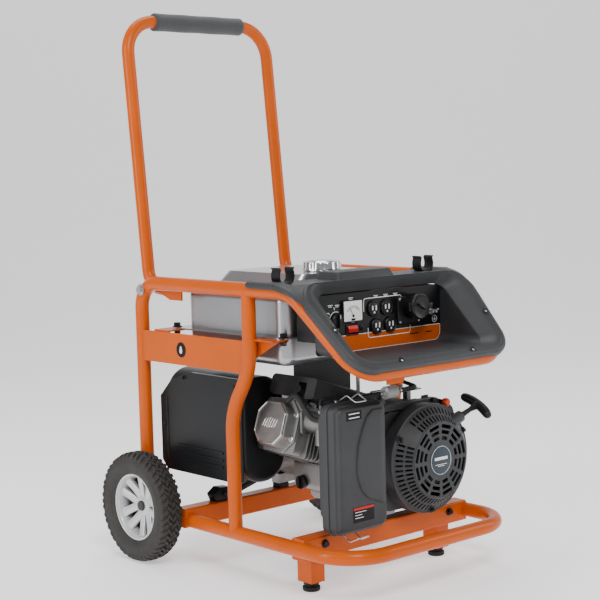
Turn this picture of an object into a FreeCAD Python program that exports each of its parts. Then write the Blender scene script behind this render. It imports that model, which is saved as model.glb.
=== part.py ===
"""Portable generator on a two-wheeled tube frame with a folding handle.

Millimetres. X runs along the control panel, left to right, and Z is up. While the pieces are built, Y is
counted backwards from the centreline of the front base tube. `save` then moves each piece forwards, so that
the origin lies on the floor under the middle of the whole machine.
"""
import FreeCAD, Part
import math
import os

V = FreeCAD.Vector
X_AXIS = V(1, 0, 0)
Y_AXIS = V(0, 1, 0)
Z_AXIS = V(0, 0, 1)
ORIGIN = V(0, 0, 0)

# ---- driving dimensions: frame ----
MID_DEPTH = 383.85        # from the front base tube to the middle of the machine
TUBE_R = 16.0             # frame tube
TUBE_WALL = 2.0
POST_R = 15.5             # front posts, a size smaller so that they saddle onto the tube
TRACK = 249.0             # centreline of each side tube from the middle plane
BASE_Z = 103.0            # centreline of the base loop
RAIL_Z = 639.0            # centreline of the top rails
REAR_Y = 689.0            # centreline of the rear posts
BASE_BEND = 100.0
REAR_TOP_BEND = 60.0
REAR_BASE_BEND = 45.0
RAIL_FRONT_Y = 163.0      # where the rails turn down towards the panel
CROSS_Z = 476.0           # front cross tube, under the panel
CROSS_HALF = 215.0        # its corners from the middle plane
POST_LOW_Y = 365.0        # front posts at the base
POST_HIGH_Y = 300.0       # and at the rails
FRONT_BAR = (140.0, 180.0, 79.0, 125.0)   # y from, y to, z from, z to
REAR_BAR = (525.0, 563.0, 87.0, 131.0)
REAR_BAR_HALF = 265.0
FLOOR_GAP = 20.0          # underside of the front legs above the floor

# ---- wheels ----
WHEEL_Y = 646.0
WHEEL_R = 127.0           # ten-inch tyre
RIM_R = 77.0
TYRE_X = (274.0, 330.0)
AXLE_R = 6.0
HUB_LENGTH = 26.0
RUNNING_GAP = 0.05        # radial clearance of a turning fit

# ---- handle ----
HANDLE_R = 15.0
HANDLE_HALF = 212.0       # leg centrelines from the middle plane
PIVOT = (669.3, 623.5)    # y, z of the handle's pivot bolts
HANDLE_TOP = (769.0, 1248.0)
GRIP_R = 21.5
GRIP_HALF = 133.0
CLIP_Y = 228.0
CLIP_Z = 670.6            # centre of the folded legs at the clips

# ---- control panel ----
PANEL_HALF = 190.0
PANEL_Y = 155.0           # front face of the panel plate
PANEL_Z = (501.0, 629.0)
WALL = 3.0                # moulded covers
LIP_DROP = 5.0            # inner lip of the rim behind the plane of the tubes
RIM_RISE = 28.0           # crest of the rim in front of that plane
DECK_Z = 649.0
DECK_REAR_Y = 286.0

# ---- fuel tank ----
TANK_HALF = 200.0
TANK_Y = (238.0, 587.0)
TANK_Z = (472.0, 628.0)
SEAM_Z = 535.5
SHEET = 1.5
FILLER_Y = 338.0
TANK_OUTLET = (110.0, 282.0)

# ---- engine and alternator ----
CRANK_X = 82.0
CRANK_Z = 254.0
CYLINDER_TILT = 18.5      # degrees above horizontal, leaning to the left
CYLINDER_Y = 302.0
BARREL_FROM = 112.0       # from the crankshaft, along the bore
ENGINE_FEET = (7.0, 157.0)
RECOIL_Y = (60.0, 100.0)
RECOIL_R = (90.0, 116.0)
SHROUD_Y = (100.0, 222.0)
SHROUD_R = 120.0
CASE_X = (-20.0, 170.0)
CASE_Y = (222.0, 375.0)
CASE_Z = (135.0, 332.0)
SHAFT_R = 17.45
ALTERNATOR_R = 98.0
ALTERNATOR_Y = (375.0, 600.0)
ROPE_ANGLE = 18.0         # the starter rope above horizontal
PULLEY_R = 50.0
PULLEY_Y = 84.0
AIR_X = (-222.0, -70.0)
AIR_Y = (60.0, 100.0, 142.0)
AIR_Z = (134.0, 410.0)
AIR_RIM = 16.0            # depth of the box's wide rim behind its cover
LATCH_X = -158.0
MUFFLER_X = (-215.0, -92.0)
MUFFLER_Y = (372.0, 655.0)
MUFFLER_Z = (198.0, 436.0)
SHIELD_X = -226.0
CHOKE_PIVOT = (130.0, 150.0, 374.0)


# ---- basic shapes ----

def block(x0, x1, y0, y1, z0, z1):
    return Part.makeBox(x1 - x0, y1 - y0, z1 - z0, V(x0, y0, z0))


def along(shape, axis):
    """Straight edges of a shape that run along one axis."""
    found = []
    for edge in shape.Edges:
        if isinstance(edge.Curve, Part.Line) and abs(abs(edge.Curve.Direction.dot(axis)) - 1) < 1e-6:
            found.append(edge)
    return found


def rounded(x0, x1, y0, y1, z0, z1, radius, axis):
    """Block whose four edges along one axis are rounded."""
    shape = block(x0, x1, y0, y1, z0, z1)
    return shape.makeFillet(radius, along(shape, axis))


def rod(radius, start, end):
    return Part.makeCylinder(radius, (end - start).Length, start, end - start)


def pipe(outer, inner, start, end):
    return rod(outer, start, end).cut(rod(inner, start, end))


def hexagon(across, start, end):
    """Hexagonal head or nut from start to end, `across` wide over its corners."""
    radius = across / 2
    corners = [V(radius * math.cos(math.radians(a)), radius * math.sin(math.radians(a)), 0)
               for a in range(0, 361, 60)]
    face = Part.Face(Part.makePolygon(corners))
    prism = face.extrude(V(0, 0, (end - start).Length))
    turn = FreeCAD.Rotation(Z_AXIS, end - start)
    prism.Placement = FreeCAD.Placement(start, turn)
    return prism


def plate_x(x0, x1, outline):
    """Flat plate from x0 to x1 with a (y, z) outline."""
    corners = [V(x0, y, z) for y, z in outline]
    return Part.Face(Part.makePolygon(corners + corners[:1])).extrude(V(x1 - x0, 0, 0))


def turned(outline, centre, axis):
    """Solid of revolution: outline is a list of (distance along the axis, radius)."""
    corners = [V(along_axis, radius, 0) for along_axis, radius in outline]
    face = Part.Face(Part.makePolygon(corners + corners[:1]))
    shape = face.revolve(ORIGIN, X_AXIS, 360)
    shape.Placement = FreeCAD.Placement(centre, FreeCAD.Rotation(X_AXIS, axis))
    return shape


def bend_path(points, radii):
    """Straight runs joined by tangent arcs, one radius for each inner point."""
    edges = []
    start = points[0]
    for index, radius in enumerate(radii, 1):
        corner = points[index]
        back = (points[index - 1] - corner).normalize()
        ahead = (points[index + 1] - corner).normalize()
        half = back.getAngle(ahead) / 2
        reach = radius / math.tan(half)
        enter = corner + back * reach
        leave = corner + ahead * reach
        middle = corner + (back + ahead).normalize() * (radius / math.sin(half) - radius)
        if (enter - start).Length > 0.01:
            edges.append(Part.LineSegment(start, enter).toShape())
        edges.append(Part.Arc(enter, middle, leave).toShape())
        start = leave
    edges.append(Part.LineSegment(start, points[-1]).toShape())
    return Part.Wire(edges)


def swept(path, radius):
    first = path.Edges[0]
    start = first.valueAt(first.FirstParameter)
    heading = first.tangentAt(first.FirstParameter)
    ring = Part.Wire([Part.makeCircle(radius, start, heading)])
    return path.makePipeShell([ring], True, False)


def bent_tube(path, radius=TUBE_R, wall=TUBE_WALL):
    return swept(path, radius).cut(swept(path, radius - wall))


def mirrored(shape):
    return shape.mirror(ORIGIN, X_AXIS)


def pair(shape):
    """The same piece on the left and on the right."""
    return [shape, mirrored(shape)]


def fused(*shapes):
    result = shapes[0]
    for shape in shapes[1:]:
        result = result.fuse(shape)
    return result.removeSplitter()


def save(name, shapes):
    """Writes one piece, or one group of equal pieces, at its place in the machine."""
    group = shapes if isinstance(shapes, list) else [shapes]
    solids = [solid for shape in group for solid in shape.Solids]
    result = solids[0] if len(solids) == 1 else Part.makeCompound(solids)
    result = result.copy()
    result.translate(V(0, -MID_DEPTH, 0))
    result.exportStep("parts/" + name + ".step")


# ---- frame ----

def base_path():
    back = REAR_BAR[0]
    points = [V(-TRACK, back, BASE_Z), V(-TRACK, 0, BASE_Z), V(TRACK, 0, BASE_Z), V(TRACK, back, BASE_Z)]
    return bend_path(points, [BASE_BEND, BASE_BEND])


def slant_middle(side):
    """Middle of the slanting run beside the panel, where side tube and cross tube are welded."""
    high = V(side * TRACK, RAIL_FRONT_Y, RAIL_Z)
    low = V(side * CROSS_HALF, 0, CROSS_Z)
    return (high + low) * 0.5


def side_path():
    points = [
        V(-TRACK, REAR_BAR[1], BASE_Z),
        V(-TRACK, REAR_Y, BASE_Z),
        V(-TRACK, REAR_Y, RAIL_Z),
        V(-TRACK, RAIL_FRONT_Y, RAIL_Z),
        slant_middle(-1),
    ]
    return bend_path(points, [REAR_BASE_BEND, REAR_TOP_BEND, 80])


def cross_path():
    points = [slant_middle(-1), V(-CROSS_HALF, 0, CROSS_Z), V(CROSS_HALF, 0, CROSS_Z), slant_middle(1)]
    return bend_path(points, [70, 70])


def post_path():
    points = [
        V(-TRACK, POST_LOW_Y, BASE_Z),
        V(-TRACK, POST_LOW_Y, 370),
        V(-TRACK, POST_HIGH_Y, 470),
        V(-TRACK, POST_HIGH_Y, RAIL_Z),
    ]
    return bend_path(points, [150, 150])


def box_section(half, bar, wall):
    y0, y1, z0, z1 = bar
    outer = rounded(-half, half, y0, y1, z0, z1, 4, X_AXIS)
    inner = block(-half + wall, half - wall, y0 + wall, y1 - wall, z0 + wall, z1 - wall)
    return outer.cut(inner)


def build_frame():
    base_solid = swept(base_path(), TUBE_R)
    side_solid = swept(side_path(), TUBE_R)
    post_solid = swept(post_path(), POST_R)
    bolt_hole = rod(5.0, V(-TRACK - 20, *PIVOT), V(-TRACK + 20, *PIVOT))

    save("base_loop", bent_tube(base_path()))
    side_tube = bent_tube(side_path()).cut(bolt_hole)
    save("side_tube_left", side_tube)
    save("side_tube_right", mirrored(side_tube))
    save("front_cross_tube", fused(bent_tube(cross_path()), cross_tab()))
    post = bent_tube(post_path(), POST_R).cut(base_solid).cut(side_solid)
    save("front_posts", pair(largest(post)))
    save("rear_crossbar", box_section(REAR_BAR_HALF, REAR_BAR, 2.5))
    front_bar = box_section(TRACK, FRONT_BAR, 2.5).cut(base_solid).cut(mirrored(base_solid))
    save("front_crossbar", largest(front_bar))

    plate = block(-TRACK - 9.5, -TRACK - 6.5, POST_HIGH_Y + 5, REAR_Y - 5, 459, 530)
    plate = largest(plate.cut(post_solid).cut(side_solid))
    save("side_plates", pair(plate))
    save("front_legs", pair(front_leg()))
    save("leg_feet", pair(leg_foot()))
    brackets = [wheel_bracket(side_solid), handle_stop(side_solid)]
    save("frame_brackets", [one for shape in brackets for one in pair(shape)])
    save("tank_brackets", [one for shape in tank_brackets(post_solid) for one in pair(shape)])


def largest(shape):
    return max(shape.Solids, key=lambda solid: solid.Volume)


def cross_tab():
    """Small tab under the cross tube that guides the control cables."""
    tab = block(-138, -92, -2, 2, CROSS_Z - 25, CROSS_Z - 12)
    return tab.cut(swept(cross_path(), TUBE_R - 0.5))


def front_leg():
    """Folded channel under the front crossbar, open to the rear, that carries a rubber foot."""
    x0, x1, y0, y1 = -212.0, -174.0, 162.0, 206.0
    top = FRONT_BAR[2]
    leg = block(x0, x1, y0, y1, FLOOR_GAP, top)
    leg = leg.cut(block(x0 + 3, x1 - 3, y0 + 3, y1 + 1, FLOOR_GAP + 3, top + 1))
    tab = block(x0, x1, FRONT_BAR[1], FRONT_BAR[1] + 3, top, top + 32)
    stud_hole = rod(4, V(-193, 184, FLOOR_GAP - 1), V(-193, 184, FLOOR_GAP + 4))
    return fused(leg, tab).cut(stud_hole)


def leg_foot():
    """Rubber foot with the stud that holds it in the leg's base plate."""
    profile = [(0, 0), (0, 17), (2, 19), (9, 19), (11, 14), (14, 14),
               (15, 17), (20, 17), (20, 4), (36, 4), (36, 0)]
    return turned(profile, V(-193, 184, 0), Z_AXIS)


def wheel_bracket(side_solid):
    outline = [(583, BASE_Z), (REAR_Y, BASE_Z), (REAR_Y, 222), (668, 222), (612, 140)]
    plate = plate_x(-TRACK - 3, -TRACK + 3, outline).cut(side_solid)
    plate = plate.cut(rod(AXLE_R, V(-TRACK - 9, WHEEL_Y, WHEEL_R), V(-TRACK + 9, WHEEL_Y, WHEEL_R)))
    return largest(plate)


def handle_stop(side_solid):
    """Bracket inside the rail, with the ledge that the handle's front end stops against."""
    outline = [(556, 601), (600, 601), (642, 618), (642, 652), (556, 652)]
    web = plate_x(-234.5, -230, outline).cut(side_solid)
    ledge = block(-230.5, -198, 602, 642, 636.2, 640)
    return fused(largest(web), ledge)


def tank_brackets(post_solid):
    """Brackets under the tank's seam, and the bolts through it, on the left."""
    under = SEAM_Z - SHEET - 3
    front_plate = block(-TRACK, -204, 223, POST_HIGH_Y, under, under + 3)
    front_web = plate_x(-234, -231, [(223, under), (POST_HIGH_Y, under), (POST_HIGH_Y, 490)])
    front = largest(fused(front_plate, front_web).cut(post_solid))
    rear_plate = block(-TRACK - 6.5, -204, 578, 634, under, under + 3)
    rear_leg = block(-TRACK - 6.5, -TRACK - 3.5, 578, 634, 500, under)
    rear = fused(rear_plate, rear_leg)
    shapes = []
    for bracket, bolt_y in ((front, 231.0), (rear, 604.0)):
        centre = V(-212, bolt_y, under)
        shank = rod(4, centre - Z_AXIS * 10, centre + Z_AXIS * 7)
        head = hexagon(14, centre + Z_AXIS * 6, centre + Z_AXIS * 11.5)
        nut = hexagon(14, centre - Z_AXIS * 6, centre)
        hole = rod(4, centre - Z_AXIS, centre + Z_AXIS * 4)
        shapes.append(bracket.cut(hole))
        shapes.append(fused(shank, head, nut))
    return shapes


# ---- wheels ----

def wheel_centre(x):
    return V(x, WHEEL_Y, WHEEL_R)


def tyre():
    low, high = TYRE_X
    crown = WHEEL_R
    profile = [(low + 10, RIM_R), (low + 3, RIM_R + 12), (low, RIM_R + 24), (low + 4, crown - 7),
               (low + 14, crown - 1), (low + 22, crown), (high - 22, crown), (high - 14, crown - 1),
               (high - 4, crown - 7), (high, RIM_R + 24), (high - 3, RIM_R + 12), (high - 10, RIM_R)]
    return turned([(x - low, r) for x, r in profile], wheel_centre(low), X_AXIS)


def rim():
    low, high = TYRE_X
    inside = RIM_R - 7
    barrel = turned([(0, inside), (0, RIM_R), (36, RIM_R), (36, inside)], wheel_centre(low + 10), X_AXIS)
    disc = rod(inside + 2, wheel_centre(low + 18), wheel_centre(low + 25))
    for spoke in range(5):
        window = Part.makeBox(40, 34, 30, V(-20, 27, -15))
        window = window.makeFillet(6, along(window, X_AXIS))
        window.rotate(ORIGIN, X_AXIS, 72 * spoke)
        window.translate(wheel_centre(low + 20))
        disc = disc.cut(window)
    hub = rod(19, wheel_centre(low + 1), wheel_centre(low + HUB_LENGTH))
    wheel = fused(barrel, disc, hub)
    return wheel.cut(rod(AXLE_R + RUNNING_GAP, wheel_centre(low - 1), wheel_centre(high)))


def axle_bolt():
    """Axle bolt on the right, with its head and sleeves inside and its nut outside."""
    outer = TYRE_X[0] + HUB_LENGTH + 0.4
    shank = rod(AXLE_R, wheel_centre(224), wheel_centre(outer + 5.5))
    head = hexagon(20, wheel_centre(222), wheel_centre(230))
    inner_sleeve = rod(7.6, wheel_centre(230), wheel_centre(TRACK - 3))
    outer_sleeve = rod(7.6, wheel_centre(TRACK + 3), wheel_centre(265.5))
    collar = rod(11, wheel_centre(265.5), wheel_centre(TYRE_X[0] + 0.7))
    nut = hexagon(19, wheel_centre(outer), wheel_centre(outer + 5))
    return fused(shank, head, inner_sleeve, outer_sleeve, collar, nut)


def build_wheels():
    save("tyre_right", tyre())
    save("tyre_left", mirrored(tyre()))
    save("rim_right", rim())
    save("rim_left", mirrored(rim()))
    save("axle_bolts", pair(axle_bolt()))


# ---- handle ----

def handle_path():
    """From the left leg's front end, past the pivot, up, across and down again."""
    lean = 0.1
    low_y = 706.93
    low_z = 627.3
    left = [V(-HANDLE_HALF, 630, 619.5), V(-HANDLE_HALF, low_y, low_z), V(-HANDLE_HALF, *HANDLE_TOP)]
    right = [V(-point.x, point.y, point.z) for point in reversed(left)]
    assert abs(HANDLE_TOP[0] - low_y - lean * (HANDLE_TOP[1] - low_z)) < 0.1
    return bend_path(left + right, [46, 78, 78, 46])


def handle_clip():
    """Two sprung arms on a foot, open at the top, that hold a folded leg."""
    x = -HANDLE_HALF
    gap = HANDLE_R + 0.6
    foot = block(x - 20, x + 20, CLIP_Y - 13, CLIP_Y + 13, DECK_Z + WALL, CLIP_Z - HANDLE_R - 0.6)
    shapes = [foot]
    for side in (-1, 1):
        inner = x + side * gap
        arm = block(min(inner, inner + side * 4), max(inner, inner + side * 4),
                    CLIP_Y - 13, CLIP_Y + 13, DECK_Z + WALL, CLIP_Z + 12)
        lip = Part.Face(Part.makePolygon([
            V(inner, CLIP_Y - 13, CLIP_Z + 11),
            V(inner + side * 4, CLIP_Y - 13, CLIP_Z + 11),
            V(inner + side * 9, CLIP_Y - 13, CLIP_Z + 18),
            V(inner + side * 6, CLIP_Y - 13, CLIP_Z + 18),
            V(inner, CLIP_Y - 13, CLIP_Z + 11),
        ])).extrude(V(0, 26, 0))
        shapes += [arm, lip]
    return fused(*shapes)


def pivot_bolt():
    """Bolt through rail and handle leg on the left, with washers and a spacer between them."""
    def at(x):
        return V(x, *PIVOT)
    inner = -HANDLE_HALF + HANDLE_R
    shank = rod(5, at(-TRACK - TUBE_R - 4), at(inner + 12))
    washer = rod(13, at(-TRACK - TUBE_R - 2), at(-TRACK - TUBE_R))
    head = hexagon(18, at(-TRACK - TUBE_R - 8), at(-TRACK - TUBE_R - 2))
    spacer = rod(8, at(-TRACK + TUBE_R), at(-HANDLE_HALF - HANDLE_R - 0.4))
    nut = hexagon(18, at(inner + 0.5), at(inner + 9))
    return fused(shank, washer, head, spacer, nut)


def build_handle():
    path = handle_path()
    tube = bent_tube(path, HANDLE_R)
    hole = rod(5 + RUNNING_GAP, V(-HANDLE_HALF - 20, *PIVOT), V(-HANDLE_HALF + 20, *PIVOT))
    tube = tube.cut(hole).cut(mirrored(hole))
    save("handle_tube", tube)
    ends = [V(side * GRIP_HALF, *HANDLE_TOP) for side in (-1, 1)]
    save("handle_grip", pipe(GRIP_R, HANDLE_R, *ends))
    save("handle_clips", pair(handle_clip()))
    save("handle_pivot_bolts", pair(pivot_bolt()))


# ---- control panel ----

SLOPE = math.sqrt(0.5)


def on_plane(x, down, rise):
    """Point `down` the slanting frame from the rail corner, `rise` in front of the tubes' plane."""
    return V(x, RAIL_FRONT_Y - (down + rise) * SLOPE, RAIL_Z - (down - rise) * SLOPE)


def rim_outline(top, bottom, half_top, half_bottom, radius, rise):
    """Closed rounded outline of the panel's rim in a plane parallel to the slanting frame."""
    corners = [(-half_top, top), (-half_bottom, bottom), (half_bottom, bottom), (half_top, top)]
    middle_top = on_plane(0, top, rise)
    points = [middle_top] + [on_plane(x, down, rise) for x, down in corners] + [middle_top]
    return bend_path(points, [radius] * 4)


def prism(wire, rise):
    lift = V(0, -rise * SLOPE, rise * SLOPE)
    return Part.Face(wire).extrude(lift)


def panel_bezel():
    """Moulded hood: rim in front of the frame, recess for the panel, and deck back over the rails."""
    front = prism(rim_outline(-6, 240, 262, 232, 62, 8), RIM_RISE - 8)
    crest = on_plane(0, 100, RIM_RISE)
    normal = V(0, -SLOPE, SLOPE)
    front_edges = [edge for edge in front.Edges
                   if all(abs((vertex.Point - crest).dot(normal)) < 0.01 for vertex in edge.Vertexes)]
    front = front.makeFillet(9, front_edges)
    back = prism(rim_outline(0, 226, 246, 212, 50, -LIP_DROP), LIP_DROP + 10)
    opening = Part.makeLoft([
        rim_outline(0, 206, 222, 200, 40, RIM_RISE + 1),
        rim_outline(12, 193, 190, 190, 30, -LIP_DROP - 1),
    ], True, True)
    recess_low = PANEL_Z[0] - 1.5
    recess_high = PANEL_Z[1] - 0.5
    lip_y = RAIL_FRONT_Y - (RAIL_Z - recess_low) + 3
    outer = [(lip_y, recess_low - WALL), (PANEL_Y + 5, recess_low - WALL),
             (PANEL_Y + 5, recess_high + WALL), (PANEL_Y - 4, recess_high + WALL)]
    inner = [(lip_y - 20, recess_low), (PANEL_Y + 2, recess_low),
             (PANEL_Y + 2, recess_high), (PANEL_Y - 20, recess_high)]
    tub = plate_x(-PANEL_HALF - WALL, PANEL_HALF + WALL, outer)
    hollow = plate_x(-PANEL_HALF, PANEL_HALF, inner)
    window = block(-PANEL_HALF + 6, PANEL_HALF - 6, PANEL_Y, PANEL_Y + 10, recess_low + 6, recess_high - 6)
    deck_front = RAIL_FRONT_Y - 12
    step = TRACK - TUBE_R - 0.5
    deck = block(-step, step, deck_front, DECK_REAR_Y, DECK_Z, DECK_Z + WALL)
    hump = rounded(-90, 86, 190, 268, DECK_Z, DECK_Z + 20, 10, Z_AXIS)
    hump_room = block(-87, 83, 193, 265, DECK_Z - 1, DECK_Z + 17)
    rail_top = RAIL_Z + TUBE_R + 0.5
    pieces = [front, back, tub, deck, hump]
    for side in (-1, 1):
        x0, x1 = sorted((side * step, side * (TRACK + TUBE_R + 3)))
        pieces.append(block(x0, x1, deck_front, DECK_REAR_Y, rail_top, rail_top + WALL))
        x0, x1 = sorted((side * step, side * (step + WALL)))
        pieces.append(block(x0, x1, deck_front, DECK_REAR_Y, DECK_Z, rail_top + WALL))
        x0, x1 = sorted((side * (TRACK + TUBE_R + 0.5), side * (TRACK + TUBE_R + 3)))
        pieces.append(block(x0, x1, deck_front + 25, DECK_REAR_Y, RAIL_Z + 5, rail_top + WALL))
    bezel = fused(*pieces).cut(opening).cut(hollow).cut(window).cut(hump_room)
    for path in (side_path(), cross_path()):
        room = swept(path, TUBE_R + 0.4)
        bezel = bezel.cut(room).cut(mirrored(room))
    for seat, normal in screw_seats():
        bezel = bezel.cut(rod(5, seat - normal * 8, seat + normal * 3))
    return largest(bezel)


OUTLETS = ((-22.0, 588.0), (17.0, 588.0), (-13.0, 550.0), (28.0, 550.0))
SWITCH = (-131.0, 571.0)
ROCKER = (-85.0, 549.0)
METER = (-87.0, 589.0)
LOCKING = (87.0, 586.0)
EARTH = (158.0, 568.0)
ROCKER_TILT = 10.0
ROCKER_PIN_R = 1.5


def panel_point(place, depth):
    """Point on the panel, `depth` in front of its face."""
    return V(place[0], PANEL_Y - depth, place[1])


def rocker_pin(radius, half):
    x, z = ROCKER
    return rod(radius, V(x - half, PANEL_Y + 4, z), V(x + half, PANEL_Y + 4, z))


def panel_plate():
    half = PANEL_HALF - 1
    plate = rounded(-half, half, PANEL_Y, PANEL_Y + 2, PANEL_Z[0], PANEL_Z[1] - 2, 9, Y_AXIS)
    for place in OUTLETS:
        plate = plate.cut(rod(16, panel_point(place, 1), panel_point(place, -3)))
    plate = plate.cut(rod(4.1, panel_point(SWITCH, 1), panel_point(SWITCH, -3)))
    plate = plate.cut(rod(24, panel_point(LOCKING, 1), panel_point(LOCKING, -3)))
    plate = plate.cut(rod(3, panel_point(EARTH, 1), panel_point(EARTH, -3)))
    x, z = ROCKER
    plate = plate.cut(block(x - 15, x + 15, PANEL_Y - 1, PANEL_Y + 3, z - 10, z + 10))
    lugs = [block(x + dx - 1.2, x + dx + 1.2, PANEL_Y + 1, PANEL_Y + 8, z - 4, z + 4) for dx in (-16.4, 16.4)]
    plate = fused(plate, *lugs).cut(rocker_pin(ROCKER_PIN_R + RUNNING_GAP, 20))
    x, z = METER
    return plate.cut(block(x - 25, x + 25, PANEL_Y - 1, PANEL_Y + 3, z - 17, z + 17))


def outlet(place):
    """Household socket with two blade slots and an earth hole."""
    x, z = place
    face = rod(17.5, panel_point(place, 0), panel_point(place, 4))
    body = rod(15.8, panel_point(place, -26), panel_point(place, 0))
    shape = fused(face, body)
    for dx in (-6, 6):
        shape = shape.cut(block(x + dx - 1.2, x + dx + 1.2, PANEL_Y - 5, PANEL_Y + 10, z - 2, z + 8))
    return shape.cut(rod(2.6, V(x, PANEL_Y - 5, z - 8), V(x, PANEL_Y + 10, z - 8)))


def locking_outlet():
    """Large twist-lock socket on a square base, under a round flap cover."""
    x, z = LOCKING
    base = rounded(x - 40, x + 30, PANEL_Y - 8, PANEL_Y, z - 40, z + 22, 6, Y_AXIS)
    body = rod(23.8, panel_point(LOCKING, -30), panel_point(LOCKING, 0))
    barrel = rod(27.5, panel_point(LOCKING, 7), panel_point(LOCKING, 34))
    cover = rod(29, panel_point(LOCKING, 34), panel_point(LOCKING, 41))
    tongue = block(x + 24, x + 37, PANEL_Y - 40, PANEL_Y - 35, z - 6, z + 6)
    grip = block(x - 11, x + 11, PANEL_Y - 46, PANEL_Y - 40, z - 2.5, z + 2.5)
    grip.rotate(V(x, 0, z), Y_AXIS, 30)
    return fused(base, body, barrel, cover, tongue, grip)


def voltmeter():
    x, z = METER
    face = rounded(x - 28, x + 28, PANEL_Y - 7, PANEL_Y, z - 23, z + 23, 2, Y_AXIS)
    body = rod(16.5, panel_point(METER, -32), panel_point(METER, 0))
    return fused(face, body)


def engine_switch():
    """Rotary knob with a raised pointer bar, on its spindle."""
    knob = rod(16, panel_point(SWITCH, 1), panel_point(SWITCH, 8))
    bar = block(-3.5, 3.5, -15, -8, -15, 15)
    bar.translate(V(SWITCH[0], PANEL_Y, SWITCH[1]))
    spindle = rod(4, panel_point(SWITCH, -14), panel_point(SWITCH, 1))
    return fused(knob, bar, spindle)


def breaker_rocker():
    """Rocker cap on its pivot, with its face bent in the middle and its lower half pressed in."""
    x, z = ROCKER
    outline = [(PANEL_Y - 3, z - 7.5), (PANEL_Y - 6, z), (PANEL_Y - 3, z + 7.5),
               (PANEL_Y + 8, z + 4), (PANEL_Y + 8, z - 4)]
    rocker = plate_x(x - 13.5, x + 13.5, outline)
    rocker.rotate(V(x, PANEL_Y + 4, z), X_AXIS, -ROCKER_TILT)
    return fused(rocker, rocker_pin(ROCKER_PIN_R, 17.6))


def screw_seats():
    """Heads round the rim, each with its outward normal."""
    normal = V(0, -SLOPE, SLOPE)
    places = ((-226, 130), (226, 130), (-110, 222), (110, 222))
    return [(on_plane(x, down, RIM_RISE), normal) for x, down in places]


def panel_screws():
    """Screws round the rim, and the earth stud with its wing nut."""
    shapes = [rod(5, seat - normal * 8, seat + normal * 2) for seat, normal in screw_seats()]
    stud = panel_point(EARTH, 0)
    wings = block(stud.x - 10, stud.x + 10, stud.y - 16, stud.y - 11, stud.z - 3, stud.z + 3)
    shank = rod(3, stud + Y_AXIS * 10, stud - Y_AXIS * 20)
    shapes.append(fused(shank, rod(6, stud, stud - Y_AXIS * 12), wings))
    return shapes


def panel_back_cover():
    x = PANEL_HALF - 3
    z0, z1 = PANEL_Z[0] + 28, PANEL_Z[1] - 4
    y0 = PANEL_Y + 5
    y1 = 216.0
    return block(-x, x, y0, y1, z0, z1).cut(block(-x + 2, x - 2, y0 - 1, y1 - 2, z0 + 2, z1 - 2))


def build_panel():
    save("panel_bezel", panel_bezel())
    save("panel_plate", panel_plate())
    save("panel_back_cover", panel_back_cover())
    save("outlets", [outlet(place) for place in OUTLETS])
    save("locking_outlet", locking_outlet())
    save("voltmeter", voltmeter())
    save("engine_switch", engine_switch())
    save("breaker_rocker", breaker_rocker())
    save("panel_screws", panel_screws())


# ---- fuel tank ----

def tank_body(inset):
    """Whole tank, or with an inset the room inside its sheet."""
    x = TANK_HALF - inset
    y0, y1 = TANK_Y[0] + inset, TANK_Y[1] - inset
    z0, z1 = TANK_Z[0] + inset, TANK_Z[1] - inset
    body = rounded(-x, x, y0, y1, z0, z1, 30 - inset, Z_AXIS)
    flat = [edge for edge in body.Edges
            if abs(edge.BoundBox.ZMin - edge.BoundBox.ZMax) < 0.01]
    body = body.makeFillet(18 - inset, flat)
    front = DECK_REAR_Y + 4 + inset
    low = rounded_wire(-134 + inset, 134 - inset, front, 576 - inset, z1 - 2, 26)
    high = rounded_wire(-104 + inset, 104 - inset, front + 1, 556 - inset, 662 - inset, 22)
    return fused(body, Part.makeLoft([low, high], True, True))


def rounded_wire(x0, x1, y0, y1, z, radius):
    start = V((x0 + x1) / 2, y0, z)
    points = [start, V(x1, y0, z), V(x1, y1, z), V(x0, y1, z), V(x0, y0, z), start]
    return bend_path(points, [radius] * 4)


def build_tank():
    shell = tank_body(0).cut(tank_body(SHEET))
    shell = shell.cut(rod(28, V(0, FILLER_Y, 640), V(0, FILLER_Y, 670)))
    rim_x, rim_y0, rim_y1 = 222.0, 222.0, 614.0
    hole = tank_body(0)
    halves = {"tank_upper_shell": (SEAM_Z, SEAM_Z + SHEET, 700),
              "tank_lower_shell": (SEAM_Z - SHEET, SEAM_Z, 400)}
    for name, (low, high, far) in halves.items():
        flange = rounded(-rim_x, rim_x, rim_y0, rim_y1, low, high, 24, Z_AXIS).cut(hole)
        for x in (-212, 212):
            for y in (231.0, 604.0):
                flange = flange.cut(rod(4, V(x, y, low - 1), V(x, y, high + 1)))
        z0, z1 = sorted((SEAM_Z, far))
        half = fused(shell.common(block(-300, 300, 100, 800, z0, z1)), flange)
        if name == "tank_upper_shell":
            half = fused(half, pipe(30, 28, V(0, FILLER_Y, 660.5), V(0, FILLER_Y, 670)))
        else:
            outlet_low = V(*TANK_OUTLET, TANK_Z[0] - 12)
            half = fused(half, pipe(9, 6, outlet_low, outlet_low + Z_AXIS * 13))
            half = half.cut(rod(6, outlet_low, outlet_low + Z_AXIS * 16))
        save(name, largest(half))
    save("fuel_cap", fuel_cap())
    save("fuel_line", fuel_line())


def fuel_cap():
    """Ribbed metal cap that turns on the filler neck."""
    cap = rod(44, V(0, FILLER_Y, 663.2), V(0, FILLER_Y, 682))
    cap = cap.cut(rod(32, V(0, FILLER_Y, 662), V(0, FILLER_Y, 670.4)))
    for step in range(24):
        angle = math.radians(15 * step)
        spot = V(46 * math.cos(angle), FILLER_Y + 46 * math.sin(angle), 660)
        cap = cap.cut(rod(4, spot, spot + Z_AXIS * 30))
    knob = rod(30, V(0, FILLER_Y, 681), V(0, FILLER_Y, 686))
    plug = rod(27.7, V(0, FILLER_Y, 664.5), V(0, FILLER_Y, 671))
    return fused(cap, knob, plug)


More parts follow.
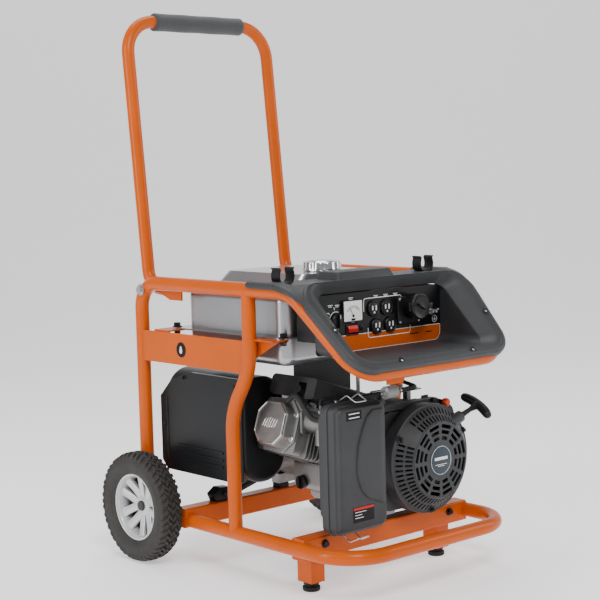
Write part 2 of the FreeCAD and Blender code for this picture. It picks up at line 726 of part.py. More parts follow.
def fuel_line():
    """Tap under the tank, hose, inline filter, and the hose on to the carburettor."""
    tap_x, tap_y = TANK_OUTLET
    tap_low = TANK_Z[0] - 34
    tap = fused(rod(8, V(tap_x, tap_y, tap_low), V(tap_x, tap_y, TANK_Z[0] - 12.2)),
                rod(5, V(tap_x, tap_y, TANK_Z[0] - 12.2), V(tap_x, tap_y, TANK_Z[0] - 2)))
    filter_y, filter_z = 150.0, 402.0
    upper = [V(tap_x, tap_y, tap_low), V(tap_x, tap_y, 424), V(tap_x, filter_y, filter_z),
             V(48, filter_y, filter_z)]
    lower = [V(-8, filter_y, filter_z), V(-60, filter_y, filter_z), V(-140, 200, filter_z), V(-140, 200, 388)]
    canister = rod(13, V(4, filter_y, filter_z), V(36, filter_y, filter_z))
    spigots = rod(3, V(-7.9, filter_y, filter_z), V(47.9, filter_y, filter_z))
    hoses = [swept(bend_path(upper, [9, 20]), 4.5), swept(bend_path(lower, [60, 11]), 4.5)]
    return [tap, fused(canister, spigots)] + hoses


# ---- engine ----

def crank(y, dx=0, dz=0):
    return V(CRANK_X + dx, y, CRANK_Z + dz)


def tilted(shape):
    """From the cylinder's own frame, where x runs outwards along the bore, to the machine."""
    turn = FreeCAD.Rotation(Y_AXIS, 180 + CYLINDER_TILT)
    shape.Placement = FreeCAD.Placement(V(CRANK_X, CYLINDER_Y, CRANK_Z), turn).multiply(shape.Placement)
    return shape


def tilted_hull(x0, x1, y0, y1, z0, z1, radius):
    """Rounded block in the cylinder's own frame, where z runs downwards after tilting."""
    return tilted(rounded(x0, x1, y0, y1, z0, z1, radius, X_AXIS))


def crankcase():
    x0, x1 = CASE_X
    y0, y1 = CASE_Y
    z0, z1 = CASE_Z
    body = rounded(x0, x1, y0, y1, z0, z1, 26, Y_AXIS)
    neck = tilted_hull(60, BARREL_FROM, -62, 62, -62, 62, 16)
    chin = rounded(x0 - 66, x0 + 30, y0 + 10, y1 - 22, z0 + 42, CRANK_Z, 20, Y_AXIS)
    feet = []
    for foot_x in ENGINE_FEET:
        feet.append(block(foot_x - 13, foot_x + 13, FRONT_BAR[0] + 2, y0 + 30, z0, z0 + 8))
    barrel_room = tilted_hull(BARREL_FROM, 260, -68, 68, -66, 66, 18)
    outer = fused(body, neck, chin, *feet).cut(barrel_room)
    room = rounded(x0 + 7, x1 - 7, y0 + 7, y1 - 7, z0 + 7, z1 - 7, 20, Y_AXIS)
    bore = tilted(rod(45.2, V(40, 0, 0), V(113, 0, 0)))
    shaft = rod(SHAFT_R + RUNNING_GAP, crank(y0 - 1), crank(y1 + 1))
    filler = rod(10.2, V(x0 - 70, 322, 196), V(x0 + 12, 322, 196))
    return outer.cut(room).cut(bore).cut(shaft).cut(filler)


def cylinder_head():
    """Finned barrel and head round the bore, with inlet and exhaust ports."""
    core = tilted(rod(54, V(BARREL_FROM, 0, 0), V(205, 0, 0)))
    shapes = [core, tilted_hull(205, 262, -60, 60, -58, 58, 12)]
    for step in range(8):
        x = 116 + 11.5 * step
        shapes.append(tilted_hull(x, x + 3.5, -66, 66, -64, 64, 18))
    shape = fused(*shapes)
    shape = shape.cut(tilted(rod(45.2, V(111, 0, 0), V(240, 0, 0))))
    for side in (-1, 1):
        shape = shape.cut(tilted(rod(14, V(234, 30 * side, -12), V(234, 61 * side, -12))))
    plug = tilted(rod(6.5, V(236, -38, -60), V(236, -38, -30)))
    return largest(shape.cut(plug))


def valve_cover():
    body = rounded(262, 298, -50, 50, -52, 52, 22, X_AXIS)
    top = [edge for edge in body.Edges if edge.BoundBox.XMin > 297.9]
    body = body.makeFillet(8, top)
    flange = rounded(262, 268, -60, 60, -60, 60, 26, X_AXIS)
    cover = fused(body, flange).cut(rounded(261, 294, -46, 46, -48, 48, 18, X_AXIS))
    for y in (-47, 47):
        for z in (-47, 47):
            cover = fused(cover, rod(5, V(262, y * 1.06, z * 1.06), V(273, y * 1.06, z * 1.06)))
    return tilted(cover)


def spark_plug():
    """Plug in the top of the head with its rubber boot."""
    thread = rod(6.4, V(236, -38, -34), V(236, -38, -58.2))
    hexed = hexagon(19, V(236, -38, -58.2), V(236, -38, -66))
    boot = fused(rod(9, V(236, -38, -66), V(236, -38, -92)), rod(8, V(236, -38, -84), V(268, -38, -84)))
    return tilted(fused(thread, hexed, boot))


def fan_shroud():
    """Pressed cowl round the fan, the duct over the cylinder, its upright screen and the choke shelf."""
    y0, y1 = SHROUD_Y
    ring = rod(SHROUD_R, crank(y0), crank(y1))
    hollow = rod(SHROUD_R - WALL, crank(y0 - 1), crank(y1 - WALL))
    throat = rod(60, crank(y1 - WALL - 1), crank(y1 + 1))
    low = rounded(CRANK_X - 118, CRANK_X + 118, y0 + 28, y1, CRANK_Z - 108, CRANK_Z + 108, 30, Y_AXIS)
    duct = tilted_hull(60, 258, -82, 66, -112, -66, 12)
    duct = duct.cut(tilted_hull(59, 255, -76, 63, -109, -60, 9))
    screen = block(-124, 44, 300, 303, 330, TANK_Z[0] - 8)
    screen = screen.cut(tilted_hull(20, 330, -90, 90, -110.5, 200, 5))
    room = block(CASE_X[0] - 20, CASE_X[1] + 20, y1 - 1, 500, CASE_Z[0], CASE_Z[1] + 4)
    duct = duct.cut(block(-400, 400, 0, y1, 0, 600)).cut(room)
    boot_gap = tilted(block(223, 280, -51, -25, -100, -60))
    x, y, z = CHOKE_PIVOT
    tab = block(x - 10, x + 10, y, y + 3, z - 26, z + 8)
    shelf = block(-58, x + 16, y - 22, y, z - 9, z + 3)
    shape = fused(ring, low, tab, shelf).cut(hollow).cut(throat)
    shape = shape.cut(rod(3 + RUNNING_GAP, V(x, y - 24, z), V(x, y + 5, z)))
    shape = fused(shape, fused(largest(duct.cut(boot_gap)), largest(screen)))
    return largest(shape)


def recoil_cover():
    """Round starter housing with vents in its face and side, and the rope's outlet."""
    y0, y1 = RECOIL_Y
    r0, r1 = RECOIL_R
    depth = y1 - y0
    outer = [(0, 0), (0, r0 - 8), (8, r0), (depth - 8, r1), (depth - 8, r1 + 4), (depth, r1 + 4), (depth, 0)]
    inner = [(WALL, 0), (WALL, r0 - 9), (9, r0 - WALL), (depth - 8, r1 - WALL), (depth + 1, r1 - WALL),
             (depth + 1, 0)]
    shell = turned(outer, crank(y0), Y_AXIS).cut(turned(inner, crank(y0), Y_AXIS))
    cutters = []
    for step in range(12):
        angle = 30 * step + 15
        for radius, width in ((48.5, 17), (61.5, 24), (74, 30)):
            slot = block(-width / 2, width / 2, -1, WALL + 1, radius - 4, radius + 4)
            slot.rotate(ORIGIN, Y_AXIS, angle)
            cutters.append(slot)
    for step in range(60):
        angle = 6 * step
        if 40 < angle < 90 or 296 < angle < 324:
            continue
        for near in (3.5, 17.5):
            slot = block(-2.5, 2.5, near, near + 12, r0 - 14, r1 + 8)
            slot.rotate(ORIGIN, Y_AXIS, angle)
            cutters.append(slot)
    vents = Part.makeCompound(cutters)
    vents.translate(crank(y0))
    shell = shell.cut(vents)
    post = rod(8, crank(y0 + 1), crank(PULLEY_Y + 16))
    outlet_block = rod(13, rope_point(62), rope_point(112)).cut(rod(7, rope_point(50), rope_point(113)))
    outlet_block = outlet_block.cut(rod(r0 - WALL, crank(y0), crank(y1)))
    return largest(fused(shell, post, outlet_block).cut(rod(7, rope_point(58), rope_point(113))))


def rope_point(distance):
    """Point on the starter rope, counted from where it leaves the pulley."""
    angle = math.radians(ROPE_ANGLE)
    x = CRANK_X - PULLEY_R * math.sin(angle) + distance * math.cos(angle)
    z = CRANK_Z + PULLEY_R * math.cos(angle) + distance * math.sin(angle)
    return V(x, PULLEY_Y, z)


def starter_grip():
    """T-handle with a tapered neck and the short end of rope that it holds."""
    bar_way = V(0, -0.902, -0.431)
    middle = rope_point(172)
    bar = rod(10.5, middle - bar_way * 38, middle + bar_way * 38)
    ends = [Part.makeSphere(10.5, middle + bar_way * reach) for reach in (-38, 38)]
    neck = turned([(0, 0), (0, 6.5), (34, 5), (34, 0)], rope_point(118), rope_point(119) - rope_point(118))
    collar = turned([(0, 0), (0, 5), (24, 9), (24, 0)], rope_point(150), rope_point(119) - rope_point(118))
    rope = rod(2.5, rope_point(70), rope_point(120))
    return fused(bar, ends[0], ends[1], neck, collar, rope)


def recoil_pulley():
    pulley = turned([(-6, 8 + RUNNING_GAP), (-6, 54), (-4, 54), (-2.5, 46), (2.5, 46), (4, 54), (6, 54),
                     (6, 8 + RUNNING_GAP)], crank(PULLEY_Y), Y_AXIS)
    return pulley


def build_crank_rotor():
    """Everything that turns with the engine: crankshaft, flywheel with its fan, and alternator rotor."""
    front = rod(SHAFT_R, crank(146), crank(284))
    back = rod(SHAFT_R, crank(320), crank(430))
    tail = rod(10, crank(430), crank(612))
    webs = []
    for y0, y1 in ((280, 290), (314, 324)):
        web = rod(44, crank(y0), crank(y1))
        webs.append(web)
    pin = rod(15, crank(288, -28), crank(316, -28))
    save("crankshaft", fused(front, back, tail, pin, *webs))

    disc = pipe(92, SHAFT_R, crank(176), crank(192))
    hub = pipe(30, SHAFT_R, crank(160), crank(210))
    blades = []
    for step in range(16):
        blade = block(-1.5, 1.5, 152, 177, 48, 88)
        blade.rotate(V(0, 0, 0), Y_AXIS, 22.5 * step)
        blade.translate(V(CRANK_X, 0, CRANK_Z))
        blades.append(blade)
    save("flywheel_fan", fused(disc, hub, *blades))

    rotor_body = rounded(-58, 58, 440, 560, -58, 58, 24, Y_AXIS).common(rod(60, V(0, 430, 0), V(0, 570, 0)))
    rotor_body.translate(V(CRANK_X, 0, CRANK_Z))
    save("rotor", largest(rotor_body.cut(rod(10, crank(430), crank(612)))))


def build_alternator():
    y0, y1 = ALTERNATOR_Y
    shell = pipe(ALTERNATOR_R, ALTERNATOR_R - 4, crank(y0 + 30), crank(y1))
    adapter = rod(ALTERNATOR_R + 6, crank(y0), crank(y0 + 30)).cut(rod(70, crank(y0 - 1), crank(y0 + 31)))
    foot = block(CRANK_X - 62, CRANK_X + 62, 530, 558, 143, 165)
    foot = foot.cut(rod(ALTERNATOR_R - 2, crank(500), crank(600)))
    vents = []
    for step in range(12):
        vent = block(-7, 7, y0 + 40, y0 + 58, ALTERNATOR_R - 8, ALTERNATOR_R + 8)
        vent.rotate(ORIGIN, Y_AXIS, 30 * step)
        vents.append(vent)
    holes = Part.makeCompound(vents)
    holes.translate(V(CRANK_X, 0, CRANK_Z))
    save("alternator_housing", fused(shell, adapter, foot).cut(holes))
    save("stator", pipe(ALTERNATOR_R - 4, 62, crank(445), crank(555)))

    cap = turned([(0, 0), (0, ALTERNATOR_R + 1), (20, ALTERNATOR_R - 2), (28, ALTERNATOR_R - 14), (28, 0)],
                 crank(y1), Y_AXIS)
    room = turned([(-1, 0), (-1, ALTERNATOR_R - 4), (19, ALTERNATOR_R - 6), (24, ALTERNATOR_R - 16), (24, 0)],
                  crank(y1), Y_AXIS)
    boss = rod(20, crank(y1 + 2), crank(y1 + 25))
    cap = fused(cap.cut(room), boss).cut(rod(10 + RUNNING_GAP, crank(y1), crank(y1 + 16)))
    for row in range(5):
        z = CRANK_Z - 50 + 14 * row
        for x0, x1 in ((CRANK_X - 66, CRANK_X - 26), (CRANK_X + 26, CRANK_X + 66)):
            cap = cap.cut(block(x0, x1, y1 + 20, y1 + 30, z, z + 6))
    save("alternator_end_cover", cap)


def build_engine():
    save("crankcase", largest(crankcase()))
    save("cylinder_head", cylinder_head())
    save("valve_cover", valve_cover())
    save("spark_plug", spark_plug())
    save("fan_shroud", fan_shroud())
    save("recoil_cover", recoil_cover())
    save("recoil_pulley", recoil_pulley())
    save("starter_grip", starter_grip())
    build_crank_rotor()
    build_alternator()
    save("engine_mounts", engine_mounts())
    save("oil_dipstick", oil_dipstick())


def engine_mounts():
    """Rubber mounts: two under the engine's feet, two under the alternator's foot."""
    mounts = []
    for x in ENGINE_FEET:
        mounts.append(rounded(x - 16, x + 16, 143, 177, FRONT_BAR[3], CASE_Z[0], 5, Z_AXIS))
    for x in (CRANK_X - 46, CRANK_X + 46):
        mounts.append(rounded(x - 15, x + 15, 529, 559, REAR_BAR[3], 143, 5, Z_AXIS))
    return mounts


def oil_dipstick():
    """Filler plug with a winged head and its dipstick."""
    x0 = CASE_X[0] - 66
    head = turned([(0, 0), (0, 15), (10, 15), (10, 0)], V(x0 - 10.5, 322, 196), X_AXIS)
    wing = block(x0 - 18, x0 - 10, 319, 325, 184, 208)
    stem = rod(10, V(x0 - 1, 322, 196), V(x0 + 14, 322, 196))
    stick = rod(3, V(x0 + 13, 322, 196), V(x0 + 62, 322, 196))
    return fused(head, wing, stem, stick)


# ---- intake ----

def build_intake():
    x0, x1 = AIR_X
    front, seam, back = AIR_Y
    z0, z1 = AIR_Z
    cover = rounded(x0, x1, front, seam, z0, z1, 20, Y_AXIS)
    rim_edges = [edge for edge in cover.Edges if edge.BoundBox.YMax < front + 0.01]
    cover = cover.makeFillet(9, rim_edges)
    cover = cover.cut(rounded(x0 + WALL, x1 - WALL, front + WALL, seam + 1, z0 + WALL, z1 - WALL, 17, Y_AXIS))
    save("air_box_cover", largest(cover))

    step = seam + AIR_RIM
    body = rounded(x0 + 4, x1 - 4, seam, step, z0 + 4, z1 - 4, 17, Y_AXIS)
    tub = rounded(x0 + 22, x1 - 22, step, back, z0 + 26, z1 - 22, 17, Y_AXIS)
    room = rounded(x0 + 7, x1 - 7, seam - 1, step - WALL, z0 + 7, z1 - 7, 14, Y_AXIS)
    tub_room = rounded(x0 + 25, x1 - 25, seam - 1, back - WALL, z0 + 29, z1 - 25, 14, Y_AXIS)
    body = fused(body, tub).cut(room).cut(tub_room)
    body = body.cut(rod(18, V(-140, back - 10, 350), V(-140, back + 10, 350)))
    hinge = []
    for z, side in ((z1 - 4, 1), (z0 + 4, -1)):
        low, high = sorted((z, z + side * 8))
        hinge.append(block(LATCH_X - 23, LATCH_X - 20, seam + 2, seam + 12, low, high))
        hinge.append(block(LATCH_X + 20, LATCH_X + 23, seam + 2, seam + 12, low, high))
    holes = [rod(1.6, V(LATCH_X - 30, seam + 7, z), V(LATCH_X + 30, seam + 7, z)) for z in latch_heights()]
    body = fused(body, *hinge)
    for hole in holes:
        body = body.cut(hole)
    save("air_box_body", body)
    save("air_filter", rounded(x0 + 24, x1 - 24, front + 12, back - 30, z0 + 50, z1 - 40, 8, Y_AXIS))
    for name, z, side in zip(("latch_top", "latch_bottom"), latch_heights(), (1, -1)):
        save(name, latch(z, side))
    save("carburetor", carburetor())
    save("choke_lever", choke_lever())
    save("breather_hose", breather_hose())


def latch_heights():
    return AIR_Z[1] + 0.5, AIR_Z[0] - 0.5


def latch(z, side):
    """Wire bail hinged on the box that hooks over the cover's edge."""
    y = AIR_Y[1] + 7
    points = [
        V(LATCH_X - 24, y, z),
        V(LATCH_X - 16, y, z),
        V(LATCH_X - 16, y - 26, z + side * 15),
        V(LATCH_X - 16, AIR_Y[0] - 4, z + side * 3.5),
        V(LATCH_X + 16, AIR_Y[0] - 4, z + side * 3.5),
        V(LATCH_X + 16, y - 26, z + side * 15),
        V(LATCH_X + 16, y, z),
        V(LATCH_X + 24, y, z),
    ]
    return swept(bend_path(points, [3.5, 8, 5, 5, 8, 3.5]), 1.5)


def carburetor():
    """Carburettor with its bowl and flanges, and the governor's bracket, arm, rod and spring post."""
    body = rod(22, V(-140, AIR_Y[2], 350), V(-140, 236, 350))
    flanges = [rounded(-166, -114, y, y + 6, 324, 376, 8, Y_AXIS) for y in (AIR_Y[2], 232)]
    bowl = rod(20, V(-140, 190, 304), V(-140, 190, 345))
    inlet = rod(3, V(-140, 200, 378), V(-140, 200, 388))
    inlet_boss = rod(7, V(-140, 200, 355), V(-140, 200, 378))
    shape = fused(body, *flanges, bowl, inlet_boss, inlet).cut(rod(14, V(-140, 100, 350), V(-140, 260, 350)))
    bracket = block(-40, 150, 180, 206, 390, 393)
    legs = [block(x, x + 12, 186, 200, CRANK_Z + 100, 391) for x in (30, 110)]
    arm = block(-34, -26, 196, 200, 393, 440)
    rod_bar = rod(2, V(-60, 198, 396), V(138, 198, 396))
    posts = [rod(5, V(x, 192, 392), V(x, 192, 404)) for x in (60, 96, 132)]
    spring = rod(4, V(0, 188, 399), V(60, 188, 399))
    shroud = rod(SHROUD_R, crank(100), crank(300))
    linkage = fused(bracket, *legs, arm, rod_bar, *posts, spring).cut(shroud)
    return [shape, largest(linkage)]


def choke_lever():
    """Lever with a round knob, on a pin in the fan shroud."""
    x, y, z = CHOKE_PIVOT
    near = y - 28
    tip = V(x + 28, near, z - 8)
    pin = rod(3, V(x, near + 2, z), V(x, y + 10, z))
    arm = plate_between(V(x, near, z), tip, 6, 3)
    knob = turned([(0, 0), (0, 7), (3, 10), (13, 10), (16, 7), (16, 0)], tip - Y_AXIS * 16, Y_AXIS)
    return fused(pin, arm, knob)


def plate_between(start, end, half, thick):
    """Flat bar with round ends between two points, `thick` along Y."""
    way = (end - start).normalize()
    side = V(-way.z, 0, way.x) * half
    corners = [start + side, end + side, end - side, start - side, start + side]
    bar = Part.Face(Part.makePolygon(corners)).extrude(Y_AXIS * thick)
    caps = [rod(half, point, point + Y_AXIS * thick) for point in (start, end)]
    return fused(bar, *caps)


def breather_hose():
    """Rubber hose from the valve cover to the air box."""
    cover_port = V(-178, 262, 396)
    end_y = AIR_Y[2] + 0.1
    points = [cover_port, cover_port + V(0, -26, 18), V(-182, end_y + 40, 366), V(-182, end_y, 366)]
    return swept(bend_path(points, [18, 30]), 6)


# ---- exhaust ----

def build_exhaust():
    x0, x1 = MUFFLER_X
    y0, y1 = MUFFLER_Y
    z0, z1 = MUFFLER_Z
    drum = rounded(x0, x1, y0, y1, z0, z1, 58, Y_AXIS)
    ends = [edge for edge in drum.Edges if edge.BoundBox.YMax - edge.BoundBox.YMin < 0.01]
    drum = drum.makeFillet(12, ends)
    inner = rounded(x0 + 2, x1 - 2, y0 + 2, y1 - 2, z0 + 2, z1 - 2, 56, Y_AXIS)
    inner_ends = [edge for edge in inner.Edges if edge.BoundBox.YMax - edge.BoundBox.YMin < 0.01]
    inner = inner.makeFillet(10, inner_ends)
    port = tilted(rod(17, V(234, 60, -12), V(234, 76, -12)))
    bore = tilted(rod(13, V(234, 60, -12), V(234, 80, -12)))
    outlet_pipe = rod(14, V(-150, y1 - 4, 262), V(-150, y1 + 14, 262))
    outlet_bore = rod(12, V(-150, y1 - 10, 262), V(-150, y1 + 15, 262))
    shell = fused(drum.cut(inner), port, outlet_pipe).cut(bore).cut(outlet_bore)
    save("muffler", largest(shell))

    outline = [(362, 212), (380, 204), (640, 204), (660, 224), (660, 374), (614, 418), (540, 438), (362, 438)]
    shield = plate_x(SHIELD_X, SHIELD_X + 2, outline)
    lip_outline = [(362, 438), (540, 438), (614, 418), (660, 374)]
    lips = []
    for (ya, za), (yb, zb) in zip(lip_outline, lip_outline[1:]):
        lips.append(plate_x(SHIELD_X, SHIELD_X + 9, [(ya, za), (yb, zb), (yb, zb - 2), (ya, za - 2)]))
    louvres = [block(SHIELD_X - 2, SHIELD_X, 430, 600, 232 + 16 * row, 237 + 16 * row) for row in range(3)]
    shield = fused(shield, *lips, *louvres)
    spacers = []
    for y, z in ((400, 400), (620, 260), (400, 260), (560, 400)):
        spacers.append(rod(4, V(SHIELD_X + 2, y, z), V(x0, y, z)))
    save("muffler_shield", fused(shield, *spacers))


os.makedirs("parts", exist_ok=True)
build_frame()
build_wheels()
build_handle()
build_panel()
build_tank()
build_engine()
build_intake()
build_exhaust()
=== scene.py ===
"""Looks of the portable generator: finishes, moulded detail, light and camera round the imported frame."""

import functools
import math

import bmesh
import bpy
from mathutils import Matrix, Vector


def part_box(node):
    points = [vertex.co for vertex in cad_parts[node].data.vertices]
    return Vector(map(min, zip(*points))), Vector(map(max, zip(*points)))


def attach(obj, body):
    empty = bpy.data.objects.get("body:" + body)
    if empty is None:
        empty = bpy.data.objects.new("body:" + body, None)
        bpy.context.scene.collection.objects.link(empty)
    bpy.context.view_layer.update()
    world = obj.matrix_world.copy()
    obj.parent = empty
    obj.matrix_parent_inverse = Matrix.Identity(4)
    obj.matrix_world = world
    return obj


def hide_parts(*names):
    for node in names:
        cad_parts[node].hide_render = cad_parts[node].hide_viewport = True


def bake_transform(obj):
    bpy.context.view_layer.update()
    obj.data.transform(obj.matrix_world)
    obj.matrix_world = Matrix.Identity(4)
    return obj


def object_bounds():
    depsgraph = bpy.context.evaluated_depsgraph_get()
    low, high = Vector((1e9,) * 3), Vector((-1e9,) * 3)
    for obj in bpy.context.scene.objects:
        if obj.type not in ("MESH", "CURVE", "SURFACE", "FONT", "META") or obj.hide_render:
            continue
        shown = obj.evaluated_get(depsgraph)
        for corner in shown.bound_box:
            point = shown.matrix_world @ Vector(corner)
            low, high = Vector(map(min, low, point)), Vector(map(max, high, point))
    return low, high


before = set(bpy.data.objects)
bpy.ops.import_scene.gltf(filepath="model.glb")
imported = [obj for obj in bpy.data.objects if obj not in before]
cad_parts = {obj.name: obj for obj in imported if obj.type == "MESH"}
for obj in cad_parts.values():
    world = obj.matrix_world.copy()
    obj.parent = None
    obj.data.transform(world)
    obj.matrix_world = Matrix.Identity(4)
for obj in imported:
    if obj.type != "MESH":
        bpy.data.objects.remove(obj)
cad_low, cad_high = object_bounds()

MM = 0.001                # one millimetre in metres
X_AXIS = Vector((1, 0, 0))
Y_AXIS = Vector((0, 1, 0))
Z_AXIS = Vector((0, 0, 1))


def mm(*points):
    """Points given in millimetres, as a list of points in metres."""
    return [tuple(part * MM for part in point) for point in points]


@functools.cache
def box(node):
    """Lowest and highest corner of a CAD node at rest."""
    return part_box(node)


# ---- procedural materials ----

def rgb(red, green, blue):
    """Linear colour from the 0-255 values of a colour chart."""
    def linear(value):
        part = value / 255
        return part / 12.92 if part <= 0.04045 else ((part + 0.055) / 1.055) ** 2.4
    return linear(red), linear(green), linear(blue), 1.0


class Finish:
    """One node material: a shader whose colour, roughness and relief come from object-space textures."""

    def __init__(self, name, **constants):
        self.material = bpy.data.materials.new(name)
        self.material.use_nodes = True
        self.tree = self.material.node_tree
        self.shader = self.tree.nodes["Principled BSDF"]
        self.place = self.tree.nodes.new("ShaderNodeTexCoord").outputs["Object"]
        self.normal = None
        for socket, value in constants.items():
            self.shader.inputs[socket.replace("_", " ")].default_value = value

    def link(self, source, target):
        self.tree.links.new(source, target)

    def stretched(self, scale):
        """Object coordinates scaled unevenly, for brushed and streaked finishes."""
        node = self.tree.nodes.new("ShaderNodeMapping")
        node.inputs["Scale"].default_value = scale
        self.link(self.place, node.inputs["Vector"])
        return node.outputs["Vector"]

    def noise(self, scale, detail=4.0, place=None, rough=0.55):
        node = self.tree.nodes.new("ShaderNodeTexNoise")
        node.inputs["Scale"].default_value = scale
        node.inputs["Detail"].default_value = detail
        node.inputs["Roughness"].default_value = rough
        self.link(place or self.place, node.inputs["Vector"])
        return node.outputs["Fac"]

    def cells(self, scale, feature="F1"):
        node = self.tree.nodes.new("ShaderNodeTexVoronoi")
        node.feature = feature
        node.inputs["Scale"].default_value = scale
        self.link(self.place, node.inputs["Vector"])
        return node.outputs["Distance"]

    def ramp(self, source, stops):
        node = self.tree.nodes.new("ShaderNodeValToRGB")
        ramp = node.color_ramp
        while len(ramp.elements) < len(stops):
            ramp.elements.new(0.5)
        for element, (spot, colour) in zip(ramp.elements, stops):
            element.position = spot
            element.color = colour
        self.link(source, node.inputs["Fac"])
        return node.outputs["Color"]

    def mix(self, factor, first, second, blend="MIX"):
        node = self.tree.nodes.new("ShaderNodeMix")
        node.data_type = "RGBA"
        node.blend_type = blend
        self.link(factor, node.inputs[0])
        self.link(first, node.inputs[6])
        self.link(second, node.inputs[7])
        return node.outputs[2]

    def colour(self, source):
        self.link(source, self.shader.inputs["Base Color"])

    def roughness(self, source, low, high):
        node = self.tree.nodes.new("ShaderNodeMapRange")
        node.inputs["To Min"].default_value = low
        node.inputs["To Max"].default_value = high
        self.link(source, node.inputs["Value"])
        self.link(node.outputs["Result"], self.shader.inputs["Roughness"])

    def bump(self, height, strength, depth):
        """Relief of a given depth in metres; each call adds to the one before."""
        node = self.tree.nodes.new("ShaderNodeBump")
        node.inputs["Strength"].default_value = strength
        node.inputs["Distance"].default_value = depth
        self.link(height, node.inputs["Height"])
        if self.normal:
            self.link(self.normal, node.inputs["Normal"])
        self.normal = node.outputs["Normal"]
        self.link(self.normal, self.shader.inputs["Normal"])

    def worn_edges(self, base, edge, softness=0.62):
        """Colour that turns lighter along convex edges, where a surface is handled."""
        node = self.tree.nodes.new("ShaderNodeNewGeometry")
        stops = ((0.5, (0, 0, 0, 1)), (softness, (1, 1, 1, 1)))
        factor = self.ramp(node.outputs["Pointiness"], stops)
        light = self.ramp(self.noise(300.0), ((0.4, base_of(edge, 0.9)), (0.7, edge)))
        return self.mix(factor, base, light)


def base_of(colour, factor):
    return tuple(part * factor for part in colour[:3]) + (1.0,)


def shades(colour, darker, lighter):
    """Two stops for a ramp: the colour a little darker and a little lighter."""
    return (0.3, base_of(colour, darker)), (0.72, base_of(colour, lighter))


def powder_coat(name, colour, peel=0.5):
    """Glossy baked powder with a faint orange peel."""
    finish = Finish(name, Coat_Weight=0.08, Coat_Roughness=0.16, Specular_IOR_Level=0.16)
    finish.colour(finish.ramp(finish.noise(9.0), shades(colour, 0.93, 1.05)))
    finish.roughness(finish.noise(60.0), 0.26, 0.38)
    finish.bump(finish.noise(420.0, 2.0), peel, 0.00025)
    return finish.material


def moulded_plastic(name, colour, rough=(0.42, 0.58), grain=900.0, depth=0.00012, spread=(0.88, 1.12)):
    """Injection-moulded plastic with a fine spark-eroded grain."""
    finish = Finish(name, Specular_IOR_Level=0.34)
    base = finish.ramp(finish.noise(14.0), shades(colour, *spread))
    finish.colour(finish.worn_edges(base, base_of(colour, 1.5), 0.7))
    finish.roughness(finish.noise(140.0), *rough)
    finish.bump(finish.noise(grain, 3.0), 0.45, depth)
    return finish.material


def vulcanised_rubber(name, colour, rough=(0.62, 0.82)):
    """Matt rubber with dusty bloom and a coarse skin."""
    finish = Finish(name, Specular_IOR_Level=0.35)
    base = finish.ramp(finish.noise(22.0, 6.0), shades(colour, 0.75, 1.3))
    dust = finish.ramp(finish.noise(240.0, 3.0), shades(base_of(colour, 1.6), 0.9, 1.2))
    finish.colour(finish.mix(finish.noise(70.0, 5.0), base, dust))
    finish.roughness(finish.noise(90.0), *rough)
    finish.bump(finish.noise(520.0, 5.0), 0.5, 0.00035)
    return finish.material


def open_cell_foam(name, colour):
    """Foam grip with small open pores, painted darker inside as their shade, and a soft sheen."""
    finish = Finish(name, Specular_IOR_Level=0.2, Sheen_Weight=0.25, Sheen_Roughness=0.6)
    pores = finish.cells(620.0)
    # pores darker towards their middles: painted shade inside the pits
    finish.colour(finish.ramp(pores, ((0.1, base_of(colour, 0.45)), (0.55, base_of(colour, 1.15)))))
    finish.roughness(finish.noise(180.0), 0.75, 0.95)
    finish.bump(pores, 0.6, 0.0005)
    finish.bump(finish.noise(45.0), 0.25, 0.0008)
    return finish.material


def plated_steel(name, colour, rough=(0.22, 0.42), spangle=260.0):
    """Zinc or chrome plate with a faint spangle and cloudy stains."""
    finish = Finish(name, Metallic=1.0)
    clouds = finish.ramp(finish.noise(40.0, 6.0), shades(colour, 0.78, 1.08))
    spots = finish.ramp(finish.cells(spangle), shades(colour, 0.9, 1.05))
    finish.colour(finish.mix(finish.noise(120.0), clouds, spots))
    finish.roughness(finish.noise(75.0, 5.0), *rough)
    finish.bump(finish.noise(600.0), 0.2, 0.0001)
    return finish.material


def cast_metal(name, colour, grain=330.0, depth=0.0006, rough=(0.34, 0.56), metallic=0.9):
    """Sand or die casting with a pebbled skin and darker hollows."""
    finish = Finish(name, Metallic=metallic)
    base = finish.ramp(finish.noise(26.0, 6.0), shades(colour, 0.78, 1.1))
    finish.colour(finish.worn_edges(base, base_of(colour, 1.25)))
    finish.roughness(finish.noise(110.0, 5.0), *rough)
    finish.bump(finish.noise(grain, 5.0), 0.5, depth)
    finish.bump(finish.cells(grain * 1.6), 0.2, depth * 0.5)
    return finish.material


def painted_metal(name, colour, rough=(0.3, 0.42), flake=2600.0, metallic=0.65):
    """Metallic lacquer: small flakes under a clear coat."""
    finish = Finish(name, Metallic=metallic, Coat_Weight=0.5, Coat_Roughness=0.12)
    clouds = finish.ramp(finish.noise(7.0), shades(colour, 0.95, 1.04))
    flakes = finish.ramp(finish.cells(flake), shades(colour, 0.86, 1.12))
    finish.colour(finish.mix(finish.noise(900.0), clouds, flakes))
    finish.roughness(finish.noise(30.0), *rough)
    finish.bump(finish.noise(260.0, 2.0), 0.2, 0.0002)
    return finish.material


def wound_copper(name, colour):
    """Varnished windings that run round the core, the grooves between wires painted darker as shade."""
    finish = Finish(name, Metallic=0.8, Coat_Weight=0.6)
    wires = finish.noise(1.0, 1.0, finish.stretched((900.0, 60.0, 900.0)))
    # low grooves between the wires darker: painted shade
    finish.colour(finish.ramp(wires, shades(colour, 0.5, 1.2)))
    finish.roughness(finish.noise(200.0), 0.25, 0.45)
    finish.bump(wires, 0.6, 0.0006)
    return finish.material


